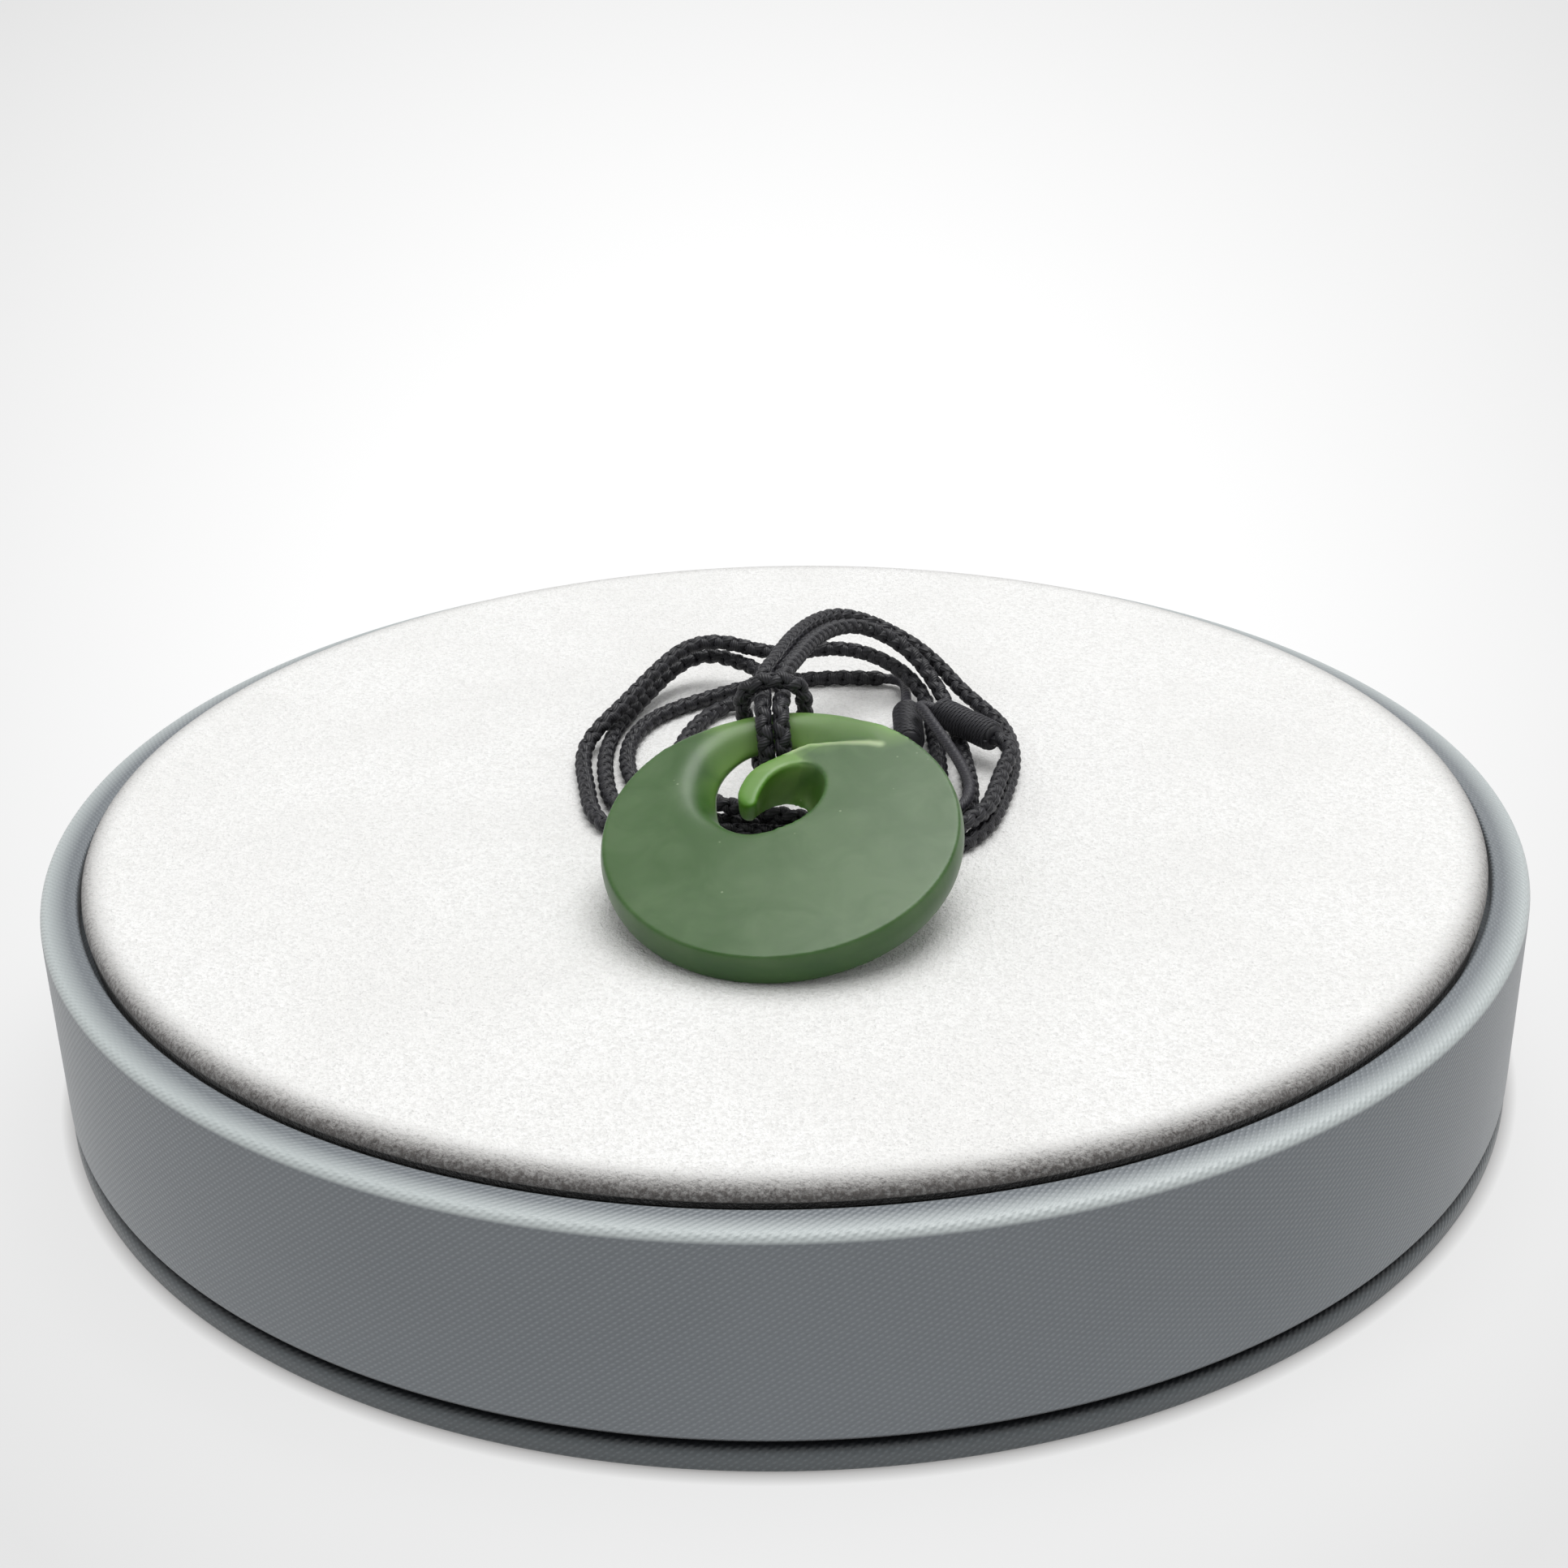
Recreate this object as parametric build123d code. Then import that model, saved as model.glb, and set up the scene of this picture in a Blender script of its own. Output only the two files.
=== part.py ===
from build123d import *
import math
import os

# A koru pendant: a carved greenstone disc on a doubled, adjustable braided cord, which lies loosely
# coiled on a round display stand. The disc leans back on the coil with its front edge on the stand's pad.
# Millimetres, +Z up. The origin is the middle of the stand's underside, and -Y is the front.

# Round display stand
stand_radius = 75.0
wall_taper = 0.1
foot_inset = 0.15
foot_height = 2.9
foot_edge_round = 1.0
drum_height = 20.3
rim_width = 3.65
outer_round_share = 0.22
inner_round_share = 0.1
pad_side_gap = 0.4
pad_thickness = 4.0
pad_proud = 1.75
pad_edge_round = 1.5
recess_radius = stand_radius - rim_width
pad_radius = recess_radius - pad_side_gap
drum_top_z = foot_height + drum_height
pad_top_z = drum_top_z + pad_proud

# Greenstone disc, in its own plane: u to the right, v up the disc, w out of its front face
stone_radius = 17.05
crease_inset = 0.35
crease_w = 2.4
front_crown = 0.5
back_edge_inset = 0.3
back_edge_w = 1.05
back_crown = 1.05
half_way_crown_share = 0.75
groove_top_w = 3.1
groove_floor_w = 0.25
opening_middle_w = 0.3
stone_tilt = 17.0
stone_roll = -5.25
stone_x = -0.12
stone_y = -24.49
rest_gap = 0.03
crease_radius = stone_radius - crease_inset
back_edge_radius = stone_radius - back_edge_inset

# Cords
braid_diameter = 1.8
thin_diameter = 1.2
bore_clearance = 0.1
cord_end_gap = 0.04
knot_bore_lead = 1.5
braid_knot_lead = 1.9
thin_knot_lead = 0.78
thin_start_lead = 1.25
slide_knot_diameter = 3.3
slide_knot_round = 0.7
radius_share = 0.45

# The opening is one comma-shaped cut: a slot that comes down round the hook and widens into the eye.
# The eye narrows towards the back, the slot's outer wall opens out there, and the hook's tip is blunt.
# Columns: u, v at the front, u, v at the middle, u, v at the back, as shares of the stone's radius.
OPENING_SHARES = [
    (0.165, 0.690, 0.165, 0.690, 0.185, 0.790), (0.112, 0.730, 0.112, 0.730, 0.120, 0.870),
    (0.000, 0.757, 0.000, 0.757, 0.000, 0.910), (-0.141, 0.733, -0.141, 0.733, -0.165, 0.893),
    (-0.258, 0.633, -0.258, 0.633, -0.302, 0.790), (-0.328, 0.510, -0.328, 0.510, -0.383, 0.650),
    (-0.352, 0.300, -0.352, 0.300, -0.385, 0.390), (-0.325, 0.130, -0.325, 0.130, -0.335, 0.160),
    (-0.235, 0.000, -0.235, 0.000, -0.235, 0.000), (-0.120, -0.042, -0.120, -0.042, -0.120, -0.042),
    (0.035, -0.018, 0.035, -0.018, 0.035, -0.018), (0.188, 0.106, 0.177, 0.118, 0.165, 0.130),
    (0.250, 0.260, 0.204, 0.275, 0.157, 0.290), (0.240, 0.395, 0.190, 0.380, 0.137, 0.365),
    (0.165, 0.470, 0.128, 0.440, 0.090, 0.408), (0.075, 0.470, 0.054, 0.453, 0.033, 0.435),
    (-0.020, 0.415, -0.030, 0.426, -0.040, 0.437), (-0.085, 0.315, -0.090, 0.367, -0.095, 0.422),
    (-0.112, 0.240, -0.118, 0.300, -0.125, 0.405), (-0.122, 0.195, -0.132, 0.240, -0.143, 0.385),
    (-0.155, 0.165, -0.165, 0.195, -0.177, 0.370), (-0.200, 0.185, -0.207, 0.215, -0.213, 0.385),
    (-0.226, 0.250, -0.230, 0.275, -0.232, 0.415), (-0.195, 0.385, -0.200, 0.395, -0.205, 0.460),
    (-0.122, 0.492, -0.122, 0.492, -0.122, 0.515), (-0.040, 0.545, -0.040, 0.545, -0.040, 0.550),
    (0.050, 0.590, 0.050, 0.590, 0.050, 0.590), (0.125, 0.630, 0.125, 0.630, 0.125, 0.630),
    (0.163, 0.658, 0.163, 0.658, 0.170, 0.680),
]
# The rows at which the opening's walls are divided.
OPENING_STARTS = [0, 6, 10, 14, 19, 23]

# The arm outside the slot slopes down to it, and the slope runs on to the right as a groove that dies out.
# Columns: floor u, floor v, crest u, crest v, as shares of the stone's radius.
SLOPE_SHARES = [
    (-0.120, 0.100, -0.150, -0.045), (-0.190, 0.120, -0.255, -0.022), (-0.255, 0.155, -0.355, 0.035),
    (-0.305, 0.215, -0.450, 0.140), (-0.333, 0.302, -0.512, 0.330), (-0.310, 0.504, -0.470, 0.640),
    (-0.240, 0.621, -0.370, 0.795), (-0.130, 0.717, -0.212, 0.885), (-0.001, 0.736, 0.005, 0.930),
    (0.142, 0.641, 0.215, 0.930), (0.179, 0.515, 0.435, 0.875), (0.197, 0.399, 0.615, 0.762),
    (0.206, 0.316, 0.715, 0.605),
]

# The flat face ends along this line, in the slot behind the hook and then along the groove.
# Columns: u, v, as shares of the stone's radius, from the hook's tip to the groove's end.
FACE_EDGE_SHARES = [
    (-0.150, 0.050), (-0.235, 0.100), (-0.290, 0.210), (-0.275, 0.360), (-0.210, 0.500), (-0.110, 0.600),
    (0.010, 0.655), (0.110, 0.670), (0.190, 0.668), (0.330, 0.668), (0.458, 0.653), (0.545, 0.622),
    (0.610, 0.588), (0.700, 0.530),
]
FACE_BACK_SHARES = [(0.900, 0.200), (0.300, -0.350), (-0.140, -0.200)]

# The hitch that holds the stone: down the front, through the slot, up the back and across the front.
# Columns: u in millimetres, v as a share of the stone's radius, w in millimetres, for the left half.
# The right half mirrors it.
HITCH_HALF = [
    (-0.95, 1.243, 2.6), (-0.95, 1.109, 1.75), (-0.95, 0.985, 3.6), (-0.95, 0.856, 3.95), (-0.95, 0.745, 2.9),
    (-0.95, 0.68, 0.5), (-1.1, 0.683, -2.0), (-1.6, 0.809, -2.85), (-2.3, 0.979, -2.65), (-2.8, 1.067, -0.8),
    (-3.1, 1.073, 1.5), (-2.95, 1.067, 3.9), (-1.3, 1.062, 5.0),
]
HITCH_MIDDLE = (0.0, 1.062, 5.1)

# The braid's left leg from the hitch: over the arch, down the right side, under the stone, up the left
# side, over the top and round once more, to the middle of the back. Columns: x, y, height over the pad.
BRAID_LEFT = [
    (-1.4, -2.3, 14.8), (-0.5, 2.1, 13.95), (0.9, 10.5, 12.8), (3.3, 19.5, 11.3), (6.2, 25.8, 9.9),
    (9.5, 27.7, 8.5), (12.8, 27.6, 6.9), (15.8, 26.2, 5.4), (18.1, 23.7, 4.0), (20.0, 20.1, 2.8),
    (22.2, 17.2, 1.8),
    (24.1, 14.1, 1.1), (24.7, 9.0, 0.9), (24.2, 2.8, 0.9), (22.5, -4.5, 0.9), (20.4, -11.0, 0.9),
    (16.5, -15.9, 0.9), (11.0, -16.8, 0.9), (4.7, -14.7, 0.9), (-2.5, -12.8, 0.9), (-9.9, -12.8, 0.9),
    (-15.8, -11.3, 0.9), (-19.4, -6.8, 0.9), (-20.5, 1.0, 0.9), (-21.3, 6.5, 0.9), (-21.1, 10.3, 1.4),
    (-19.7, 12.6, 2.5), (-17.7, 15.7, 3.3), (-15.5, 20.2, 4.0), (-13.4, 24.3, 4.7), (-11.3, 27.8, 5.2),
    (-8.6, 29.4, 5.5), (-5.8, 29.1, 5.4), (-3.3, 28.4, 4.9), (-0.4, 28.3, 4.3), (2.7, 29.2, 4.1),
    (6.0, 29.7, 4.3), (9.2, 28.8, 4.2), (12.3, 26.2, 3.8), (14.9, 22.9, 2.9), (16.4, 20.0, 1.2),
    (16.5, 13.8, 0.9), (16.6, 7.0, 0.9), (16.4, -0.7, 0.9), (15.0, -6.9, 0.9), (10.8, -11.0, 0.9),
    (3.9, -10.5, 0.9), (-3.0, -8.5, 0.9), (-9.4, -8.0, 0.9), (-13.9, -3.8, 0.9), (-16.1, 3.0, 0.9),
    (-16.7, 8.0, 0.9), (-16.3, 13.2, 0.9), (-14.4, 18.0, 0.9), (-11.7, 21.0, 0.9), (-8.3, 23.6, 0.9),
    (-5.3, 25.8, 0.9), (-1.6, 27.8, 0.9), (3.6, 28.8, 0.9), (8.2, 29.0, 0.9), (11.7, 28.4, 0.9),
]

# The braid's right leg: beside the left one round to the top left, back in a fold behind the hitch, and
# under the stone again to the second slide knot. Columns: x, y, height over the pad.
BRAID_RIGHT = [
    (0.6, -2.3, 14.9), (1.5, 2.4, 13.95), (3.0, 10.9, 12.4), (5.6, 19.5, 10.7), (8.8, 24.1, 9.2),
    (12.2, 25.1, 7.4), (14.9, 24.0, 5.6), (16.8, 21.6, 3.8), (18.3, 18.3, 2.0), (19.0, 12.7, 1.1),
    (19.4, 4.7, 0.9),
    (19.5, -2.4, 0.9), (18.6, -7.9, 0.9), (15.3, -13.3, 0.9), (10.8, -14.6, 0.9), (4.7, -12.7, 0.9),
    (-2.7, -10.7, 0.9), (-9.9, -10.6, 0.9), (-15.0, -8.3, 0.9), (-17.8, -3.1, 0.9), (-18.7, 3.3, 0.9),
    (-19.0, 8.5, 0.9), (-18.4, 14.6, 0.9), (-16.8, 20.1, 0.9), (-14.9, 24.4, 1.4), (-13.0, 27.7, 2.2),
    (-10.5, 30.1, 3.1), (-7.7, 30.6, 3.4), (-4.8, 28.9, 3.1), (-2.6, 26.6, 3.1), (-2.0, 23.9, 2.6),
    (-3.7, 21.8, 1.7), (-6.2, 20.9, 1.0), (-8.2, 18.8, 0.9), (-10.1, 14.1, 0.9), (-11.2, 8.5, 0.9),
    (-11.5, 1.8, 1.2), (-10.5, -3.7, 2.3), (-6.9, -8.1, 2.8), (-1.01, -10.73, 2.75), (5.39, -13.15, 2.75),
    (11.28, -15.57, 2.75), (16.49, -15.15, 2.75), (20.26, -10.87, 2.75), (21.59, -5.97, 2.75), (22.4, -2.5, 2.8),
    (23.2, 0.1, 2.9), (23.89, 2.14, 3.05),
]

# The smooth thin cord: from the braid's left end down through the first slide knot, behind the stone
# and back up over it to the second slide knot. Columns: x, y, height over the pad.
THIN_ABOVE = [(13.88, 27.05, 1.0), (14.17, 24.84, 1.2)]
THIN_BELOW = [
    (13.05, 2.07, 1.2), (12.14, -2.65, 1.1), (11.91, -7.2, 2.2), (12.68, -10.69, 2.8), (15.33, -12.11, 2.8),
    (17.9, -10.27, 2.8), (19.02, -6.39, 2.85), (18.85, -2.91, 3.0), (17.99, 1.28, 3.4), (16.83, 5.18, 3.95),
    (15.75, 8.37, 4.5), (15.27, 10.12, 4.7), (14.81, 11.16, 4.65), (15.03, 11.95, 4.45), (15.68, 12.4, 4.2),
]

# Slide knots: the ends of each one's axis. Columns: x, y, height over the pad.
SLIDE_KNOT_1 = ((13.83, 17.09, 1.65), (13.68, 8.36, 1.65))
SLIDE_KNOT_2 = ((16.97, 11.71, 3.95), (22.53, 5.42, 3.4))


def turned(*profile_edges):
    """A solid turned about +Z from a closed profile in the XZ plane."""
    face = make_face(Wire(profile_edges) if len(profile_edges) > 1 else profile_edges[0])
    return revolve(face, axis=Axis.Z, revolution_arc=360)


def stand_foot():
    disc = Cylinder(stand_radius - foot_inset, foot_height, align=(Align.CENTER, Align.CENTER, Align.MIN))
    return fillet(disc.edges().filter_by(GeomType.CIRCLE), foot_edge_round)


def top_circle(shape, place):
    """The inmost (0) or outermost (-1) circle on a turned shape's top."""
    return shape.edges().filter_by(GeomType.CIRCLE).group_by(Axis.Z)[-1].sort_by(SortBy.RADIUS)[place]


def stand_drum():
    """The covered drum: a slightly tapered wall, a soft top edge and a shallow recess for the pad."""
    pad_seat_z = pad_top_z - pad_thickness
    outline = Polyline(
        (0, 0, foot_height), (stand_radius - wall_taper, 0, foot_height), (stand_radius, 0, drum_top_z),
        (recess_radius, 0, drum_top_z), (recess_radius, 0, pad_seat_z), (0, 0, pad_seat_z), close=True,
    )
    drum = turned(outline.wire())
    drum = fillet(top_circle(drum, -1), outer_round_share * rim_width)
    return fillet(top_circle(drum, 0), inner_round_share * rim_width)


def stand_pad():
    pad = Cylinder(pad_radius, pad_thickness, align=(Align.CENTER, Align.CENTER, Align.MIN))
    pad = fillet(pad.edges().group_by(Axis.Z)[-1], pad_edge_round)
    return Pos(0, 0, pad_top_z - pad_thickness) * pad


def on_stone(points, w):
    return [(u * stone_radius, v * stone_radius, w) for u, v in points]


def stone_disc():
    """The round blank: a softly crowned front with a crease, a full rim and a crowned back."""
    rim_middle = (crease_w - back_edge_w) / 2
    front = ThreePointArc(
        (0, 0, crease_w + front_crown), (crease_radius / 2, 0, crease_w + front_crown * half_way_crown_share),
        (crease_radius, 0, crease_w),
    )
    rim = ThreePointArc(
        (crease_radius, 0, crease_w), (stone_radius, 0, rim_middle), (back_edge_radius, 0, -back_edge_w),
    )
    back = ThreePointArc(
        (back_edge_radius, 0, -back_edge_w),
        (back_edge_radius / 2, 0, -back_edge_w - back_crown * half_way_crown_share),
        (0, 0, -back_edge_w - back_crown),
    )
    axis = Line((0, 0, -back_edge_w - back_crown), (0, 0, crease_w + front_crown))
    return turned(front, rim, back, axis)


def opening_outline(w):
    """The opening's outline at a height w, in stretches that start at the same corners at each height."""
    far_column, far_w = (0, crease_w) if w > opening_middle_w else (4, -back_edge_w - back_crown)
    share = (w - opening_middle_w) / (far_w - opening_middle_w)
    points = on_stone([
        [row[2 + i] + share * (row[far_column + i] - row[2 + i]) for i in (0, 1)] for row in OPENING_SHARES
    ], w)
    ring = Spline(*points, periodic=True).edge()
    marks = [0] + [ring.param_at_point(points[start]) for start in OPENING_STARTS[1:]] + [1]
    return [ring.trim(first, last) for first, last in zip(marks, marks[1:])]


def opening():
    """A solid that fills the opening, with ruled walls from outline to outline."""
    outlines = [
        opening_outline(crease_w + 2 * front_crown), opening_outline(opening_middle_w),
        opening_outline(-back_edge_w - 2 * back_crown),
    ]
    walls = [
        Face.make_surface_from_curves(above, below)
        for uppers, lowers in zip(outlines, outlines[1:]) for above, below in zip(uppers, lowers)
    ]
    ends = [make_face(outline).face() for outline in (outlines[0], outlines[-1])]
    return Solid(Shell(walls + ends))


def slope_face(columns, w):
    edge = Spline(*on_stone(columns, w))
    return make_face([edge, Line(edge @ 1, edge @ 0)])


def koru():
    """The disc with the slope and groove of its arm, and the slot, hook and eye cut through."""
    stone = stone_disc()
    floor = slope_face([row[:2] for row in SLOPE_SHARES], groove_floor_w)
    crest = slope_face([row[2:] for row in SLOPE_SHARES], groove_top_w)
    slope = loft([floor, crest], ruled=True)
    face_line = Spline(*on_stone(FACE_EDGE_SHARES, -back_edge_w))
    face_close = Polyline(face_line @ 1, *on_stone(FACE_BACK_SHARES, -back_edge_w), face_line @ 0)
    flat_face = extrude(make_face([face_line, *face_close.edges()]), amount=3 * crease_w, dir=(0, 0, 1))
    stone -= slope - flat_face
    return stone - opening()


def placed_on_pad(piece, lowest):
    """Lays what is drawn in the disc's plane on the pad, at the disc's tilt and roll."""
    turn = Rot(0, stone_roll, 0) * Rot(stone_tilt, 0, 0)
    return Pos(stone_x, stone_y, pad_top_z + rest_gap - lowest) * turn * piece


def lowest_when_turned(piece):
    turned_piece = Rot(0, stone_roll, 0) * Rot(stone_tilt, 0, 0) * piece
    return turned_piece.bounding_box().min.Z


def over_pad(points):
    return [Vector(x, y, pad_top_z + height) for x, y, height in points]


def corner_radii(points):
    """A cord's arcs: each takes its share of the shorter run beside it."""
    radii = []
    for before, corner, after in zip(points, points[1:], points[2:]):
        run_in, run_out = corner - before, after - corner
        turn = math.radians(run_in.get_angle(run_out))
        radii.append(radius_share * min(run_in.length, run_out.length) / math.tan(turn / 2))
    return radii


def tube(name, points, diameter):
    """A round cord along straight runs joined by tangent arcs."""
    radii = corner_radii(points)
    path = FilletPolyline(*points, radius=radii)
    section = Plane(origin=path @ 0, z_dir=path % 0) * Circle(diameter / 2)
    cord = sweep(section, path=path)
    wanted = math.pi * diameter ** 2 / 4 * path.length
    print(f"{name}: {path.length:.1f} mm long, tightest radius {min(radii):.2f} mm, "
          f"volume {cord.volume / wanted:.4f} of section times length")
    print("   radii", " ".join(f"{radius:.1f}" for radius in radii))
    return cord


def slide_knot(start, end, bore=0):
    """A whipped barrel between two points, with a bore along its axis where a cord runs through."""
    length = (end - start).length
    barrel = Cylinder(slide_knot_diameter / 2, length, align=(Align.CENTER, Align.CENTER, Align.MIN))
    barrel = fillet(barrel.edges().filter_by(GeomType.CIRCLE), slide_knot_round)
    if bore:
        barrel -= Cylinder(bore / 2, length, align=(Align.CENTER, Align.CENTER, Align.MIN))
    return Plane(origin=start, z_dir=end - start) * barrel


def beyond(start, end, distance):
    """The point on the line from start to end, a distance past its end."""
    return end + (end - start).normalized() * distance


os.makedirs("parts", exist_ok=True)

stone_blank = koru()
stone_low = lowest_when_turned(stone_blank)
hitch_points = HITCH_HALF + [HITCH_MIDDLE] + [(-u, v, w) for u, v, w in reversed(HITCH_HALF)]
hitch_route = [placed_on_pad(Vertex(u, v * stone_radius, w), stone_low).center() for u, v, w in hitch_points]
knot_1_top, knot_1_low = over_pad(SLIDE_KNOT_1)
knot_2_left, knot_2_right = over_pad(SLIDE_KNOT_2)
braid_route = (
    list(reversed(over_pad(BRAID_LEFT))) + hitch_route + over_pad(BRAID_RIGHT)
    + [beyond(knot_2_left, knot_2_right, braid_knot_lead), beyond(knot_2_left, knot_2_right, cord_end_gap)]
)
thin_route = (
    [beyond(braid_route[1], braid_route[0], lead) for lead in (cord_end_gap, thin_start_lead)]
    + over_pad(THIN_ABOVE)
    + [beyond(knot_1_low, knot_1_top, knot_bore_lead), beyond(knot_1_top, knot_1_low, knot_bore_lead)]
    + over_pad(THIN_BELOW)
    + [beyond(knot_2_right, knot_2_left, thin_knot_lead), beyond(knot_2_right, knot_2_left, cord_end_gap)]
)

nodes = {
    "stand_foot": stand_foot(),
    "stand_drum": stand_drum(),
    "stand_pad": stand_pad(),
    "koru_stone": placed_on_pad(stone_blank, stone_low),
    "braided_cord": tube("braided_cord", braid_route, braid_diameter),
    "thin_cord": tube("thin_cord", thin_route, thin_diameter),
    "slide_knot_1": slide_knot(knot_1_top, knot_1_low, bore=thin_diameter + bore_clearance),
    "slide_knot_2": slide_knot(knot_2_left, knot_2_right),
}
for node, shape in nodes.items():
    export_step(shape, f"parts/{node}.step")
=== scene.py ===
# %% [markdown]
# A koru pendant on a round display stand, dressed for its portrait.
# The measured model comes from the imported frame: a stand in three parts, a carved greenstone disc,
# a braided cord, a thin cord and two slide knots. This lesson gives each of them its surface.
# Everything is in metres, and nothing is moved: a piece stays where the measured one is.

# %% Load the measured frame
import math
import bpy
import numpy as np
from mathutils import Matrix, Vector
from mathutils.bvhtree import BVHTree


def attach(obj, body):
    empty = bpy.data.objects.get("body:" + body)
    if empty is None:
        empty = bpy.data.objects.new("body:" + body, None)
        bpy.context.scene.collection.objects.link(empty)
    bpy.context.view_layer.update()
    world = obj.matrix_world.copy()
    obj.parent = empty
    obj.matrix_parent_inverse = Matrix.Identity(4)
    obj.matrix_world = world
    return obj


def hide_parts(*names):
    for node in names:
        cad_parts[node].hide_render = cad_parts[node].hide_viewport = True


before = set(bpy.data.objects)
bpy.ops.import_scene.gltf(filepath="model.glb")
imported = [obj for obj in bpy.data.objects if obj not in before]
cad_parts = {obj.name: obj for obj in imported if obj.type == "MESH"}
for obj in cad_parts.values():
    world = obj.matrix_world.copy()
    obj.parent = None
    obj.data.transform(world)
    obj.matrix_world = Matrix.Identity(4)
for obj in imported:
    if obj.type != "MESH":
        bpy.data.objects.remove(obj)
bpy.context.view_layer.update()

MM = 0.001
print("nodes", sorted(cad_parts))

# %% [markdown]
# The camera looks down at the stand from the front, at about twenty-five degrees, and leans a little
# to one side. A longer lens would flatten the ellipse of the stand's top, and a shorter one would
# swell its front edge, so the distance and the lens were both found from that ellipse.

# %% Camera
CAMERA_AIM = Vector((0.12, 0.0, 25.97)) * MM
CAMERA_DISTANCE = 245.57 * MM
CAMERA_RISE = math.radians(25.01)
CAMERA_LEAN = math.radians(-1.10)
LENS = 54.22
SENSOR_WIDTH = 36
NEAREST_SEEN = 0.01


def new_object(name, data):
    """A new object at the origin, in the scene."""
    made = bpy.data.objects.new(name, data)
    bpy.context.scene.collection.objects.link(made)
    return made


camera_data = bpy.data.cameras.new("portrait_camera")
camera_data.lens = LENS
camera_data.sensor_width = SENSOR_WIDTH
camera_data.clip_start = NEAREST_SEEN
camera = new_object("portrait_camera", camera_data)
towards_camera = Vector((0, -math.cos(CAMERA_RISE), math.sin(CAMERA_RISE)))
level = Vector((1, 0, 0))
upward = towards_camera.cross(level)
right = math.cos(CAMERA_LEAN) * level + math.sin(CAMERA_LEAN) * upward
above = -math.sin(CAMERA_LEAN) * level + math.cos(CAMERA_LEAN) * upward
place = CAMERA_AIM + CAMERA_DISTANCE * towards_camera
turned = Matrix((right, above, towards_camera)).transposed().to_4x4()
camera.matrix_world = Matrix.Translation(place) @ turned
bpy.context.scene.camera = camera
print("camera at", [round(v * 1000, 1) for v in place], "mm")

# %% [markdown]
# Cords come first, because the rest is built around them. Each follows a NURBS spline of order three with
# the measured tube's points. Only the hitch's right front leg lies a little nearer to the left one, as in
# the photograph. A plain tube would do for a far view, but the plait stands out at this cord's edge, so
# its strands are modelled.

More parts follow.
